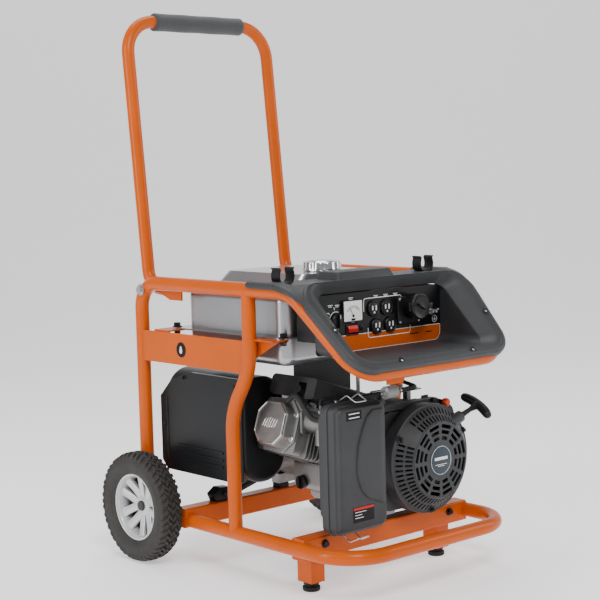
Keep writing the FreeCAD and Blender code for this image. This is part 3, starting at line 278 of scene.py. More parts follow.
def printed_ink(name, colour, rough=(0.35, 0.5)):
    """Screen-printed ink or label film, a little uneven in gloss and tone."""
    finish = Finish(name, Specular_IOR_Level=0.2)
    finish.colour(finish.ramp(finish.noise(180.0, 5.0), shades(colour, 0.9, 1.04)))
    finish.roughness(finish.noise(300.0), *rough)
    finish.bump(finish.noise(1500.0), 0.2, 0.00005)
    return finish.material


def make_finishes():
    """One material for each of the record's slots, and a few more for printed and added pieces."""
    orange = (0.56, 0.086, 0.0005, 1.0)
    looks = {
        "frame_orange": (powder_coat, orange, {}),
        "tyre_rubber": (vulcanised_rubber, rgb(44, 42, 40), {}),
        "rim_grey": (painted_metal, rgb(206, 206, 207), {"metallic": 0.25}),
        "rubber": (vulcanised_rubber, rgb(22, 22, 23), {}),
        "grip_foam": (open_cell_foam, rgb(58, 60, 62), {}),
        "zinc_steel": (plated_steel, rgb(206, 207, 210), {}),
        "black_steel": (powder_coat, rgb(26, 27, 29), {"peel": 0.7}),
        "grey_plastic": (moulded_plastic, rgb(50, 51, 53), {}),
        "black_plastic": (moulded_plastic, rgb(20, 20, 21), {"rough": (0.32, 0.48)}),
        "panel_face": (moulded_plastic, rgb(14, 14, 15),
                       {"rough": (0.24, 0.34), "grain": 500.0, "depth": 0.00003}),
        "meter_face": (printed_ink, rgb(240, 240, 236), {}),
        "tank_silver": (painted_metal, rgb(164, 165, 168), {"rough": (0.24, 0.34), "metallic": 0.85}),
        "cap_chrome": (plated_steel, rgb(220, 221, 223), {"rough": (0.12, 0.26)}),
        "cast_aluminium": (cast_metal, rgb(142, 142, 141), {}),
        "cast_iron": (cast_metal, rgb(74, 74, 76),
                      {"grain": 240.0, "depth": 0.0007, "rough": (0.5, 0.7), "metallic": 0.5}),
        "copper_windings": (wound_copper, rgb(176, 96, 52), {}),
        "filter_foam": (open_cell_foam, rgb(120, 110, 90), {}),
        "red_plastic": (moulded_plastic, rgb(196, 30, 28), {"rough": (0.25, 0.4)}),
        "knob_orange": (moulded_plastic, rgb(226, 74, 24), {"rough": (0.25, 0.4)}),
        "hose_rubber": (vulcanised_rubber, rgb(26, 26, 27), {"rough": (0.5, 0.7)}),
        "white_ink": (printed_ink, rgb(238, 238, 236), {}),
        "orange_ink": (printed_ink, orange, {}),
        "black_label": (printed_ink, rgb(6, 6, 7), {"rough": (0.3, 0.4)}),
        "red_ink": (printed_ink, rgb(190, 34, 32), {}),
        "badge_blue": (printed_ink, rgb(58, 68, 76), {}),
        "clear_plastic": (moulded_plastic, rgb(176, 178, 176), {"rough": (0.08, 0.18)}),
        "polished_aluminium": (plated_steel, rgb(226, 226, 224), {"rough": (0.14, 0.3)}),
    }
    return {name: make(name, colour, **more) for name, (make, colour, more) in looks.items()}


finishes = make_finishes()


# ---- mesh building ----

class Shape:
    """Mesh under construction, in metres in the frame of the whole machine."""

    def __init__(self):
        self.mesh = bmesh.new()

    def ring(self, points):
        return [self.mesh.verts.new(point) for point in points]

    def loft(self, rings, first_cap=True, last_cap=True, around=True):
        """Skin over rings that have equally many points."""
        made = [self.ring(points) for points in rings]
        count = len(made[0])
        for low, high in zip(made, made[1:]):
            for n in range(count if around else count - 1):
                after = (n + 1) % count
                self.mesh.faces.new((low[n], low[after], high[after], high[n]))
        if first_cap:
            self.mesh.faces.new(list(reversed(made[0])))
        if last_cap:
            self.mesh.faces.new(made[-1])
        return self

    def lathe(self, profile, centre, axis=Y_AXIS, segments=72, closed=False):
        """Surface of revolution; profile is a list of (distance along the axis, radius)."""
        plane = frame_of(axis)
        ways = [way_round(plane, angle) for angle in full_turn(segments)]
        rings = [[centre + axis * distance + way * max(radius, 1e-6) for way in ways]
                 for distance, radius in (profile + profile[:1] if closed else profile)]
        return self.loft(rings, not closed, not closed)

    def plate(self, outline, place, depth, edge=0.001, steps=3, back_edge=0.0):
        """Plate with a softened front edge: place maps (u, v, depth from the front) into the machine."""
        rings = []
        for step in range(steps + 1):
            angle = math.pi / 2 * step / steps
            inset = edge * (1 - math.sin(angle))
            rings.append([place(u, v, edge * (1 - math.cos(angle))) for u, v in offset(outline, -inset)])
        rings.append([place(u, v, depth - back_edge) for u, v in outline])
        if back_edge:
            rings.append([place(u, v, depth) for u, v in offset(outline, -back_edge)])
        return self.loft(rings)

    def block(self, low, high, edge=0.0008, turn=None, steps=2):
        """Box with rounded edges; turn is a rotation about its own middle."""
        low, high = Vector(low), Vector(high)
        made = bmesh.ops.create_cube(self.mesh, size=1.0)["verts"]
        size = high - low
        middle = (low + high) / 2
        for vert in made:
            vert.co = Vector((vert.co.x * size.x, vert.co.y * size.y, vert.co.z * size.z))
        edges = list({item for vert in made for item in vert.link_edges})
        done = bmesh.ops.bevel(self.mesh, geom=edges, offset=edge, segments=steps, profile=0.5,
                               affect="EDGES", clamp_overlap=True)
        verts = {vert for vert in made if vert.is_valid} | set(done["verts"])
        for vert in verts:
            vert.co = (turn @ vert.co if turn else vert.co) + middle
        return self

    def rod(self, start, end, radius, edge=0.0006, segments=24, far_radius=None):
        """Round bar with softened ends."""
        start, end = Vector(start), Vector(end)
        length = (end - start).length
        last = radius if far_radius is None else far_radius
        profile = [(0.0, 0.0), (0.0, radius - edge), (edge * 0.3, radius - edge * 0.3), (edge, radius),
                   (length - edge, last), (length - edge * 0.3, last - edge * 0.3), (length, last - edge),
                   (length, 0.0)]
        return self.lathe(profile, start, (end - start).normalized(), segments)

    def wire(self, points, radius, segments=12, caps=True):
        """Round bar along a smooth list of points."""
        rings = []
        across = None
        for n, point in enumerate(points):
            way = (points[min(n + 1, len(points) - 1)] - points[max(n - 1, 0)]).normalized()
            if across is None:
                across = frame_of(way)[0]
            across = (across - way * across.dot(way)).normalized()
            up = way.cross(across)
            size = radius[n] if isinstance(radius, list) else radius
            rings.append([point + way_round((across, up), angle) * size for angle in full_turn(segments)])
        return self.loft(rings, caps, caps)

    def piece(self, name, body, slot, finish=None, sharp=35.0, stands_for=(), between=()):
        """Ends the mesh and hangs it on its body, or, given `between`, leaves it in place on no body."""
        bmesh.ops.remove_doubles(self.mesh, verts=self.mesh.verts, dist=2e-6)
        bmesh.ops.recalc_face_normals(self.mesh, faces=self.mesh.faces)
        data = bpy.data.meshes.new(name)
        self.mesh.to_mesh(data)
        self.mesh.free()
        data.shade_smooth()
        data.set_sharp_from_angle(angle=math.radians(sharp))
        data.materials.append(finishes[finish or slot])
        made = bpy.data.objects.new(name, data)
        bpy.context.scene.collection.objects.link(made)
        if between:
            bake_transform(made)
        else:
            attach(made, body)
        if stands_for:
            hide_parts(*stands_for)
        return made


def frame_of(axis):
    """Two directions square to an axis and to each other."""
    helper = Z_AXIS if abs(axis.dot(Z_AXIS)) < 0.9 else X_AXIS
    across = helper.cross(axis).normalized()
    return across, axis.cross(across).normalized()


def offset(outline, distance):
    """Closed outline moved outwards (or inwards, if negative) along its own normals."""
    if abs(distance) < 1e-9:
        return list(outline)
    area = sum(a[0] * b[1] - b[0] * a[1] for a, b in zip(outline, outline[1:] + outline[:1]))
    side = 1 if area > 0 else -1
    moved = []
    count = len(outline)
    for n, (u, v) in enumerate(outline):
        before, after = outline[n - 1], outline[(n + 1) % count]
        du, dv = after[0] - before[0], after[1] - before[1]
        length = math.hypot(du, dv) or 1.0
        moved.append((u + side * distance * dv / length, v - side * distance * du / length))
    return moved


def rounded_outline(corners, radius, steps=6):
    """Closed outline through corners (u, v), each rounded; radius is one value or one for each corner."""
    radii = radius if isinstance(radius, (list, tuple)) else [radius] * len(corners)
    outline = []
    count = len(corners)
    for n, corner in enumerate(corners):
        here = Vector(corner)
        back = (Vector(corners[n - 1]) - here).normalized()
        ahead = (Vector(corners[(n + 1) % count]) - here).normalized()
        half = back.angle(ahead) / 2
        reach = radii[n] / math.tan(half)
        centre = here + (back + ahead).normalized() * (radii[n] / math.sin(half))
        start = (here + back * reach) - centre
        end = (here + ahead * reach) - centre
        turn = start.angle_signed(end)
        for step in range(steps + 1):
            angle = -turn * step / steps
            spot = Vector((start.x * math.cos(angle) - start.y * math.sin(angle),
                           start.x * math.sin(angle) + start.y * math.cos(angle)))
            outline.append(tuple(centre + spot))
    return outline


def rounded_rect(half_u, half_v, radius, steps=6):
    corners = [(-half_u, -half_v), (half_u, -half_v), (half_u, half_v), (-half_u, half_v)]
    return rounded_outline(corners, radius, steps)


def full_turn(count):
    """Angles of a full turn in equal steps."""
    return [2 * math.pi * n / count for n in range(count)]


def circle(radius, steps):
    return [(radius * math.cos(angle), radius * math.sin(angle)) for angle in full_turn(steps)]


def shifted(outline, du, dv):
    return [(u + du, v + dv) for u, v in outline]


def placed(place, outline, depth):
    return [place(u, v, depth) for u, v in outline]


def middle_of(node):
    low, high = box(node)
    return (low + high) / 2


def facing_front(middle, front):
    """Place for plates that look forwards: u to the right, v up, depth backwards from the front."""
    return lambda u, v, depth: Vector((middle.x + u, front + depth, middle.z + v))


def way_round(plane, angle):
    """Direction at an angle in the plane of two directions that are square to each other."""
    across, up = plane
    return across * math.cos(angle) + up * math.sin(angle)


# ---- wheels ----

SPOKE_PAIRS = 5
TREAD_PITCHES = 46


def wheel_frame(side):
    """Middle of a wheel on its inner face, and the direction outwards."""
    low, high = box("tyre_" + side)
    sign = -1 if side == "left" else 1
    inner = low.x if sign > 0 else high.x
    centre = Vector((inner, (low.y + high.y) / 2, (low.z + high.z) / 2))
    return centre, X_AXIS * sign, (high.z - low.z) / 2, high.x - low.x


def crown_radius(across, width, radius):
    """Radius of the tread at a place across the tyre."""
    off = abs(across / width - 0.5) * 2
    return radius - 0.0072 * off ** 3.2


def make_tyre(side):
    centre, out, radius, width = wheel_frame(side)
    floor = radius - 0.0052
    bead = box("rim_" + side)[1].z - centre.z
    w = width
    profile = [(0.18 * w, bead), (0.1 * w, bead + 0.004), (0.07 * w, bead + 0.010),
               (0.02 * w, bead + 0.018), (0.002 * w, bead + 0.026), (0.015 * w, bead + 0.031),
               (0.05 * w, floor - 0.003), (0.2 * w, floor), (0.8 * w, floor), (0.95 * w, floor - 0.003),
               (0.985 * w, bead + 0.031), (0.975 * w, bead + 0.0305), (0.998 * w, bead + 0.026),
               (0.98 * w, bead + 0.018), (0.94 * w, bead + 0.010), (0.93 * w, bead + 0.0095),
               (0.9 * w, bead + 0.004), (0.82 * w, bead)]
    tyre = Shape()
    tyre.lathe(profile, centre, out, 96, closed=True)
    across, up = frame_of(out)
    rows = ((0.015, 0.22, 0.62, 0.0), (0.245, 0.40, 0.56, 0.5), (0.425, 0.575, 0.58, 0.0),
            (0.60, 0.755, 0.56, 0.5), (0.78, 0.985, 0.62, 0.0))
    pitch = 2 * math.pi / TREAD_PITCHES
    for row, (near, far, fill, shift) in enumerate(rows):
        for step in range(TREAD_PITCHES):
            wobble = 0.12 * math.sin(2.4 * step + row)
            start = (step + shift + wobble) * pitch
            tread_block(tyre, centre, out, (across, up), (near * w, far * w), start, fill * pitch, radius,
                        w, row)
    tyre.piece("tread_tyre_" + side, "wheel_" + side, "tyre_rubber", stands_for=("tyre_" + side,))


def tread_block(tyre, centre, out, plane, span, start, length, radius, width, row):
    """One rubber block, narrower at its top, skewed so that neighbouring rows lock together."""
    across, up = plane
    near, far = span
    skew = 0.028 if row % 2 else -0.028
    rings = []
    for sink, inset in ((0.0075, 0.0), (0.0012, 0.0006), (0.0, 0.0016)):
        ring = []
        for place, lean in ((near, -1), (far, 1)):
            spot = place - lean * -inset if lean < 0 else place - inset
            bulge = crown_radius(min(max(spot, 0.0), width), width, radius) - sink
            for end in ((0, 1) if lean < 0 else (1, 0)):
                angle = start + lean * skew + (length - inset / radius if end else inset / radius)
                ring.append(centre + out * spot + way_round((across, up), angle) * bulge)
        rings.append(ring)
    tyre.loft(rings)


def make_rim(side):
    centre, out = wheel_frame(side)[:2]
    bead = box("rim_" + side)[1].z - centre.z
    start = 0.010
    rim = Shape()
    barrel = [(0.0, bead - 0.008), (0.0, bead), (0.036, bead), (0.0372, bead - 0.0012),
              (0.0372, bead - 0.0032), (0.036, bead - 0.0044), (0.0335, bead - 0.0042),
              (0.0322, bead - 0.0056), (0.030, bead - 0.0062), (0.010, bead - 0.0105),
              (0.003, bead - 0.0095)]
    rim.lathe([(start + d, r) for d, r in barrel], centre, out, 96, closed=True)
    hub = mm((1, 6.2), (1, 19), (16, 19.5), (18, 22), (21.5, 24.5), (23.8, 22.5), (24.2, 18), (25, 16.5),
             (25.6, 13.5), (25.6, 6.2))
    rim.lathe(hub, centre, out, 64, closed=True)
    across, up = frame_of(out)
    for pair in range(SPOKE_PAIRS):
        for hand in (-1, 1):
            spoke(rim, centre, out, (across, up), 2 * math.pi * pair / SPOKE_PAIRS, hand, bead - 0.0085)
    rim.piece("spoked_rim_" + side, "wheel_" + side, "rim_grey", stands_for=("rim_" + side,))

    # Black disc behind the spokes: painted shade that darkens the windows between them
    shade_disc = Shape()
    shade_disc.lathe([(0.0115, 0.018), (0.0115, bead - 0.009), (0.0135, bead - 0.009), (0.0135, 0.018)],
              centre, out, 72, closed=True)
    shade_disc.piece("rim_back_shade_disc_" + side, "wheel_" + side, "rubber", "black_plastic")

    cap = Shape()
    cap_from = 0.0262
    profile = mm((0, 0), (0, 11.8), (3.5, 11.6), (5.2, 10.5), (5.8, 8.5), (6, 0))
    cap.lathe([(cap_from + d, r) for d, r in profile], centre, out, 48)
    cap.piece("hub_cap_" + side, "wheel_" + side, "rubber", "grey_plastic")


def spoke(rim, centre, out, plane, heading, hand, reach):
    """One bar of a double spoke: wide at the hub, flared into the barrel, crowned on its face."""
    across, up = plane
    way = across * math.cos(heading) + up * math.sin(heading)
    side = out.cross(way) * hand
    rings = []
    for share in (0.0, 0.2, 0.4, 0.6, 0.8, 0.93, 1.0):
        run = 0.019 + (reach - 0.019) * share
        middle = 0.0098 + 0.0085 * share
        half = 0.0098 - 0.0004 * math.sin(math.pi * share) + 0.0026 * max(0.0, share - 0.85) / 0.15
        face = 0.0235 + 0.0115 * share ** 1.3
        back = face - 0.0085
        soft = 0.0016
        section = [(-half, back), (half, back), (half, face - soft), (half - soft, face - 0.0004),
                   (0.0, face), (-half + soft, face - 0.0004), (-half, face - soft)]
        rings.append([centre + way * run + side * (middle + a) + out * d for a, d in section])
    rim.loft(rings)


for side in ("left", "right"):
    make_tyre(side)
    make_rim(side)


# ---- handle ----

def make_grip():
    """Foam grip with rounded ends and a slight waist where hands hold it."""
    low, high = box("handle_grip")
    half = (high.x - low.x) / 2
    outer = (high.z - low.z) / 2
    inner = 0.0152
    profile = [(-half, inner), (-half + 0.0004, outer - 0.0035), (-half + 0.0016, outer - 0.0012),
               (-half + 0.004, outer)]
    steps = 40
    for n in range(1, steps):
        place = -half + 0.004 + (2 * half - 0.008) * n / steps
        waist = 0.0007 * math.cos(place * 34.0) ** 2
        profile.append((place, outer - waist))
    profile += [(-distance, radius) for distance, radius in reversed(profile[:4])]
    grip = Shape()
    grip.lathe(profile, middle_of("handle_grip"), X_AXIS, 64)
    made = grip.piece("foam_grip", "handle", "grip_foam", stands_for=("handle_grip",))


def make_clips():
    """Sprung clips for the folded legs: arms that bulge round the tube, necks and flared lips."""
    low, high = box("handle_clips")
    foot_low = low.z
    centre_z = high.z - 0.018
    thick = 0.003
    clips = Shape()
    for hand in (-1, 1):
        x = (low.x if hand < 0 else high.x) - hand * 0.0246
        for side in (-1, 1):
            inner = mm((0, -17.8), (9, -17.2), (14.5, -13.8), (17.8, -8.5), (18.6, -2), (18, 4.5),
                       (16.3, 9.5), (15.9, 12), (17.2, 15), (20.5, 16.6))
            outer = offset_line(inner, -thick)
            ring = [(side * u, v) for u, v in inner + outer[::-1]]
            clips.loft([[Vector((x + u, y, centre_z + v)) for u, v in ring] for y in (low.y, high.y)])
        clips.block((x - 0.0125, low.y + 0.002, foot_low), (x + 0.0125, high.y - 0.002, centre_z - 0.0172),
                    0.0018)
        clips.rod((x, (low.y + high.y) / 2, centre_z - 0.0185),
                  (x, (low.y + high.y) / 2, centre_z - 0.0158), 0.0045)
    clips.piece("handle_spring_clips", "chassis", "black_plastic", stands_for=("handle_clips",))


def offset_line(line, distance):
    """Open line moved sideways by a distance."""
    moved = []
    for n, (u, v) in enumerate(line):
        before = line[max(n - 1, 0)]
        after = line[min(n + 1, len(line) - 1)]
        du, dv = after[0] - before[0], after[1] - before[1]
        length = math.hypot(du, dv)
        moved.append((u - distance * dv / length, v + distance * du / length))
    return moved


make_grip()
make_clips()


# ---- panel hood ----

TUBE_R = 0.016
SLOPE = math.sqrt(0.5)
CREST_FROM = 0.015        # height over the rails from which the rim's crest is flattened
CREST_KEEP = 0.4          # share of its height that is left
LIP = -0.002              # inner lip, just behind the plane of the slope
SHOULDER = 0.034          # from the rail corner back to the start of the straight deck


@functools.cache
def rail_corner():
    """Where the rails turn down at 45 degrees: y and z of the tube's centreline."""
    rail_z = box("side_tube_left")[1].z - TUBE_R
    cross_y = box("front_cross_tube")[0].y + TUBE_R
    cross_drop = 0.163
    return cross_y + cross_drop, rail_z


def on_slope(x, down, rise):
    """Place on the hood's slope; its top edge is flattened so that the folded handle passes over it."""
    y, z = rail_corner()
    over = (rise - down) * SLOPE - CREST_FROM
    lowered = (1 - CREST_KEEP) * max(0.0, over)
    return Vector((x, y - (down + rise) * SLOPE, z + (rise - down) * SLOPE - lowered))


def rim_ring(share, rise):
    """Closed ring of the rim, from its outer outline (share 0) to the recess (share 1)."""
    def between(outer, inner):
        return outer + (inner - outer) * share
    top = between(-0.006, 0.012)
    bottom = between(0.2392, 0.193)
    half_top = between(0.262, 0.190)
    half_bottom = between(0.232, 0.190)
    radius = between(0.062, 0.026)
    corners = [(-half_top, top), (-half_bottom, bottom), (half_bottom, bottom), (half_top, top)]
    return [on_slope(u, v, rise) for u, v in rounded_outline(corners, radius, 12)]


def make_rim_of_hood():
    """Rolled rim with a step line round it, and the walls of the recess back to the panel."""
    profile = [(0.16, 0.0085), (0.02, 0.0085), (0.0, 0.0095), (0.0, 0.0195), (0.015, 0.0228),
               (0.05, 0.0256), (0.10, 0.0272), (0.17, 0.0280), (0.235, 0.0276), (0.245, 0.0262),
               (0.265, 0.0255), (0.285, 0.0260), (0.32, 0.0262), (0.40, 0.0255), (0.52, 0.0218),
               (0.66, 0.0160), (0.80, 0.0092), (0.90, 0.0040), (0.955, 0.0018), (0.985, 0.0004), (1.0, LIP)]
    rings = [rim_ring(share, rise) for share, rise in profile]
    panel_y = box("panel_plate")[0].y
    lip = rings[-1]
    rings.append([Vector((point.x, point.y + 0.0015 * (point.y < panel_y - 0.004), point.z))
                  for point in lip])
    rings.append([Vector((point.x, panel_y + 0.0012, point.z)) for point in lip])
    hood = Shape()
    hood.loft(rings, False, False)
    return hood


def deck_section(y, lift, skirt):
    """Closed cross-section of the deck that lies over the rails."""
    rail_z = rail_corner()[1]
    step = box("side_tube_right")[1].x - 2 * TUBE_R + 0.0005
    outer = box("side_tube_right")[1].x + 0.003
    deck_z = rail_z + 0.013 + lift
    rail_top = rail_z + TUBE_R + 0.0035
    half = [(outer - 0.0006, rail_z + skirt), (outer, rail_z + skirt + 0.002), (outer, rail_top - 0.007),
            (outer - 0.0022, rail_top - 0.0024), (outer - 0.0075, rail_top), (step + 0.006, rail_top),
            (step + 0.0015, rail_top - 0.0012), (step - 0.004, deck_z + 0.0010), (step - 0.012, deck_z),
            (0.16, deck_z), (0.06, deck_z)]
    under = [(0.06, deck_z - 0.003), (0.16, deck_z - 0.003), (step - 0.001, deck_z - 0.003),
             (step + 0.0012, rail_top - 0.003), (outer - 0.004, rail_top - 0.003),
             (outer - 0.0026, rail_top - 0.008), (outer - 0.0026, rail_z + skirt)]
    loop = [(-u, v) for u, v in half] + half[::-1] + under[::-1] + [(-u, v) for u, v in under]
    return [Vector((u, y, v)) for u, v in loop]


def make_deck(hood):
    front = rail_corner()[0] + SHOULDER
    back = box("panel_bezel")[1].y
    stations = []
    for share in (0.0, 0.2, 0.5, 0.8, 0.93, 1.0):
        lift = -0.0012 * max(0.0, share - 0.9) / 0.1
        skirt = 0.005 + 0.003 * max(0.0, share - 0.9) / 0.1
        stations.append(deck_section(front + (back - front) * share, lift, skirt))
    hood.loft(stations)


def evenly(line, count):
    """Points spaced evenly along a polyline."""
    lengths = [0.0]
    for start, end in zip(line, line[1:]):
        lengths.append(lengths[-1] + (end - start).length)
    points = []
    part = 0
    for n in range(count):
        reach = lengths[-1] * n / (count - 1)
        while part < len(line) - 2 and lengths[part + 1] < reach:
            part += 1
        share = (reach - lengths[part]) / (lengths[part + 1] - lengths[part])
        points.append(line[part].lerp(line[part + 1], min(share, 1.0)))
    return points


def make_shoulders(hood):
    """Skin that runs from the rim's rounded top corners back to the deck, over the bends of the rails."""
    rim = rim_ring(0.0, 0.0195)
    corner = len(rim) // 4
    inner = rim[0].x
    section = deck_section(rail_corner()[0] + SHOULDER, 0.0, 0.005)[:11]
    deck_left = evenly([Vector((inner, section[10].y, section[10].z))] + list(reversed(section[:9])),
                       corner)
    rim_left = rim[:corner]
    rings = []
    steps = 8
    for step in range(steps + 1):
        share = step / steps
        left = []
        for n in range(corner):
            swell = 0.009 * math.sin(math.pi * share) * n / (corner - 1)
            left.append(rim_left[n].lerp(deck_left[n], share) + Vector((-0.6, -0.2, 0.75)) * swell)
        rings.append(list(reversed(left)) + [Vector((-point.x, point.y, point.z)) for point in left])
    hood.loft(rings, False, False, around=False)


def make_hump(hood):
    """Raised cover on the deck in front of the filler cap."""
    cap = middle_of("fuel_cap")
    deck_z = rail_corner()[1] + 0.0105
    high = box("panel_bezel")[1]
    top = high.z
    x0, x1 = cap.x - 0.090, cap.x + 0.086
    y0, y1 = high.y - 0.096, high.y - 0.018
    rings = []
    for inset, z in ((0.0, deck_z), (0.0012, deck_z + 0.003), (0.006, top - 0.0025), (0.0078, top - 0.0006),
                     (0.0105, top)):
        half_u, half_v = (x1 - x0) / 2 - inset, (y1 - y0) / 2 - inset
        ring = [Vector(((x0 + x1) / 2 + u, (y0 + y1) / 2 + v, z))
                for u, v in rounded_rect(half_u, half_v, 0.009)]
        rings.append(ring)
    hood.loft(rings)


def make_hood():
    hood = make_rim_of_hood()
    make_deck(hood)
    make_shoulders(hood)
    make_hump(hood)
    hood.piece("panel_hood", "chassis", "grey_plastic", sharp=50.0, stands_for=("panel_bezel",))


def make_rim_screws():
    """Screws round the rim, each on a black ring and disc that are painted shade of a sunk counterbore."""
    normal = Vector((0, -SLOPE, SLOPE))
    bore_shade, heads = Shape(), Shape()
    for x, down in ((-0.228, 0.128), (0.228, 0.128), (-0.108, 0.2245), (0.108, 0.2245)):
        spot = on_slope(x, down, 0.0264)
        ring = mm((0, 4.6), (0, 7.8), (0.6, 8.6), (1.4, 8), (1.6, 6), (0.4, 4.6))
        bore_shade.lathe(ring, spot, normal, 32, closed=True)
        bore_shade.lathe([(0.0002, 0.0), (0.0002, 0.0048)], spot, normal, 32)
        heads.lathe(mm((0.3, 0), (0.3, 2.4), (1, 2.6), (1.6, 1.8), (1.8, 0)), spot, normal, 24)
    # black finish of the rings and discs: painted shade of the counterbores
    bore_shade.piece("rim_screw_bore_shade", "chassis", "black_plastic")
    heads.piece("rim_screw_heads", "chassis", "zinc_steel")


make_hood()
make_rim_screws()


# ---- control panel ----

EARTH_STUD = (0.158, 0.004)          # from the panel's middle


def panel_place(u, v, depth):
    """Place on the panel: u right and v up from its middle, depth back from its face."""
    low, high = box("panel_plate")
    return Vector(((low.x + high.x) / 2 + u, low.y + depth, (low.z + high.z) / 2 + v))


def proud(out, shift_u=0.0, shift_v=0.0):
    """Place for plates that stand `out` in front of the panel, round (shift_u, shift_v)."""
    return lambda u, v, depth: panel_place(u + shift_u, v + shift_v, depth - out)


def from_panel(node):
    """Middle of a panel item, counted from the panel's own middle."""
    centre = middle_of(node)
    home = panel_place(0, 0, 0)
    return centre.x - home.x, centre.z - home.z


def printed_line(shape, points, width=0.0016):
    """Printed line along points (u, v), a hair proud of the panel."""
    for (u0, v0), (u1, v1) in zip(points, points[1:]):
        length = math.hypot(u1 - u0, v1 - v0)
        turn = math.atan2(v1 - v0, u1 - u0)
        middle = ((u0 + u1) / 2, (v0 + v1) / 2)
        spots = []
        for u, v in rounded_rect(length / 2 + width / 2, width / 2, width * 0.4, 2):
            spots.append((middle[0] + u * math.cos(turn) - v * math.sin(turn),
                          middle[1] + u * math.sin(turn) + v * math.cos(turn)))
        shape.plate(spots, proud(0.0005), 0.0005, 0.0001, 1)


def make_panel_print():
    """Orange band along the foot of the panel, its white edge, and the white frames round the outlets."""
    low, high = box("panel_plate")
    half_u, half_v = (high.x - low.x) / 2 - 0.001, (high.z - low.z) / 2 - 0.001
    band_top = -half_v + 0.036
    corners = [(-half_u, -half_v), (half_u, -half_v), (half_u, band_top), (-half_u, band_top)]
    edge = Shape()
    edge.plate(rounded_outline(corners, [0.02, 0.02, 0.003, 0.003]), proud(0.0002), 0.0002, 0.0001, 1)
    band = Shape()
    inner = offset(rounded_outline(corners, [0.02, 0.02, 0.003, 0.003]), -0.0012)
    band.plate(inner, proud(0.0004), 0.0003, 0.0001, 1)
    band.piece("panel_band", "chassis", "frame_orange", "orange_ink")

    low, high = box("outlets")
    home = panel_place(0, 0, 0)
    left, right = low.x - home.x - 0.010, high.x - home.x + 0.030
    top, foot = high.z - home.z + 0.006, low.z - home.z - 0.006
    half = (high.z - low.z) / 2
    printed_line(edge, [(left, top - half * 0.75), (left, top - 0.004), (left + 0.004, top),
                        (right - 0.014, top), (right - 0.010, top - 0.004), (right - 0.010, top - 0.010)])
    shift = 0.012
    printed_line(edge, [(left + shift, foot + half * 0.55), (left + shift, foot + 0.004),
                        (left + shift + 0.004, foot), (right + shift, foot),
                        (right + shift + 0.004, foot + 0.004), (right + shift + 0.004, foot + 0.016)])
    knob_u, knob_v = from_panel("engine_switch")
    for n in range(9):
        angle = math.radians(70 + 25 * n)
        after = math.radians(70 + 25 * (n + 1) - 4)
        printed_line(edge, [(knob_u + 0.0195 * math.cos(angle), knob_v + 0.0195 * math.sin(angle)),
                            (knob_u + 0.0195 * math.cos(after), knob_v + 0.0195 * math.sin(after))], 0.0013)
    for angle in (100, 140, 180):
        way = Vector((math.cos(math.radians(angle)), math.sin(math.radians(angle))))
        printed_line(edge, [(knob_u + 0.024 * way.x, knob_v + 0.024 * way.y),
                            (knob_u + 0.029 * way.x, knob_v + 0.029 * way.y)], 0.0015)
    earth_u, earth_v = EARTH_STUD[0] + 0.012, EARTH_STUD[1] - 0.018
    for n in range(16):
        spots = []
        for step in (n, n + 1):
            angle = 2 * math.pi * step / 16
            spots.append((earth_u + 0.0075 * math.cos(angle), earth_v + 0.0075 * math.sin(angle)))
        printed_line(edge, spots, 0.0011)
    for drop, half_bar in ((0.0, 0.0045), (0.0018, 0.003), (0.0036, 0.0015)):
        printed_line(edge, [(earth_u - half_bar, earth_v - drop), (earth_u + half_bar, earth_v - drop)],
                     0.0009)
    printed_line(edge, [(earth_u, earth_v), (earth_u, earth_v + 0.005)], 0.0009)
    print_captions(edge, (knob_u, knob_v))
    edge.piece("panel_print", "chassis", "meter_face", "white_ink")


def print_captions(edge, knob):
    """Short plain bars where captions would stand, and darker ones on the orange band."""
    meter_u, meter_v = from_panel("voltmeter")
    breaker_u, breaker_v = from_panel("breaker_rocker")
    sockets = from_panel("outlets")
    captions = [(knob[0] + du, knob[1] + dv)
                for du, dv in ((-0.016, 0.034), (0.004, 0.033), (-0.030, 0.018))]
    captions += [(meter_u, meter_v + 0.0275), (breaker_u + 0.004, breaker_v + 0.0175)]
    captions += [(sockets[0] + shift, sockets[1] + 0.047) for shift in (-0.016, 0.014, 0.044)]
    for u, v in captions:
        for drop, half in ((0.0, 0.0062), (-0.0032, 0.0045)):
            printed_line(edge, [(u - half, v + drop), (u + half, v + drop)], 0.0012)
    marks = Shape()
    foot = box("panel_plate")[0].z - panel_place(0, 0, 0).z
    for u, half in ((-0.128, 0.016), (0.104, 0.012), (0.150, 0.009)):
        flat = shifted(rounded_rect(half, 0.0011, 0.0005, 2), u, foot + 0.022)
        marks.plate(flat, proud(0.0008), 0.0004, 0.0001, 1)
    marks.piece("panel_band_marks", "chassis", "black_plastic", "black_label")


def outlet_places():
    """Middles of the four sockets, from the box that holds them all."""
    low, high = box("outlets")
    home = panel_place(0, 0, 0)
    face = 0.0175
    top, foot = high.z - home.z - face, low.z - home.z + face
    left, right = low.x - home.x + face, high.x - home.x - face
    return (left, top), (right - 0.011, top), (left + 0.009, foot), (right, foot)


def make_outlets():
    """Socket faces with a raised collar, and metal blades behind their slots."""
    faces, blades = Shape(), Shape()
    for u, v in outlet_places():
        collar = mm((0, 12), (0, 17.3), (4.5, 17.2), (5.6, 16.2), (5.6, 14.8), (4.8, 14))
        centre = panel_place(u, v, 0)
        faces.lathe(collar, centre, -Y_AXIS, 48, closed=True)
        flat = rounded_rect(0.0118, 0.0125, 0.007)
        faces.plate(flat, proud(0.0052, u, v), 0.004, 0.0006, 2)
        for side, half in ((-1, 0.0046), (1, 0.0056)):
            blade = rounded_rect(0.0019, half, 0.0008, 2)
            blades.plate(blade, proud(0.0058, u + side * 0.0052, v + 0.002), 0.0012, 0.0003, 1)
        pin = shifted(circle(0.0024, 16), 0.0, -0.0078)
        blades.plate(pin, proud(0.0055, u, v), 0.0008, 0.0003, 1)
    faces.piece("socket_faces", "chassis", "black_plastic")
    blades.piece("socket_contacts", "chassis", "zinc_steel", "white_ink")


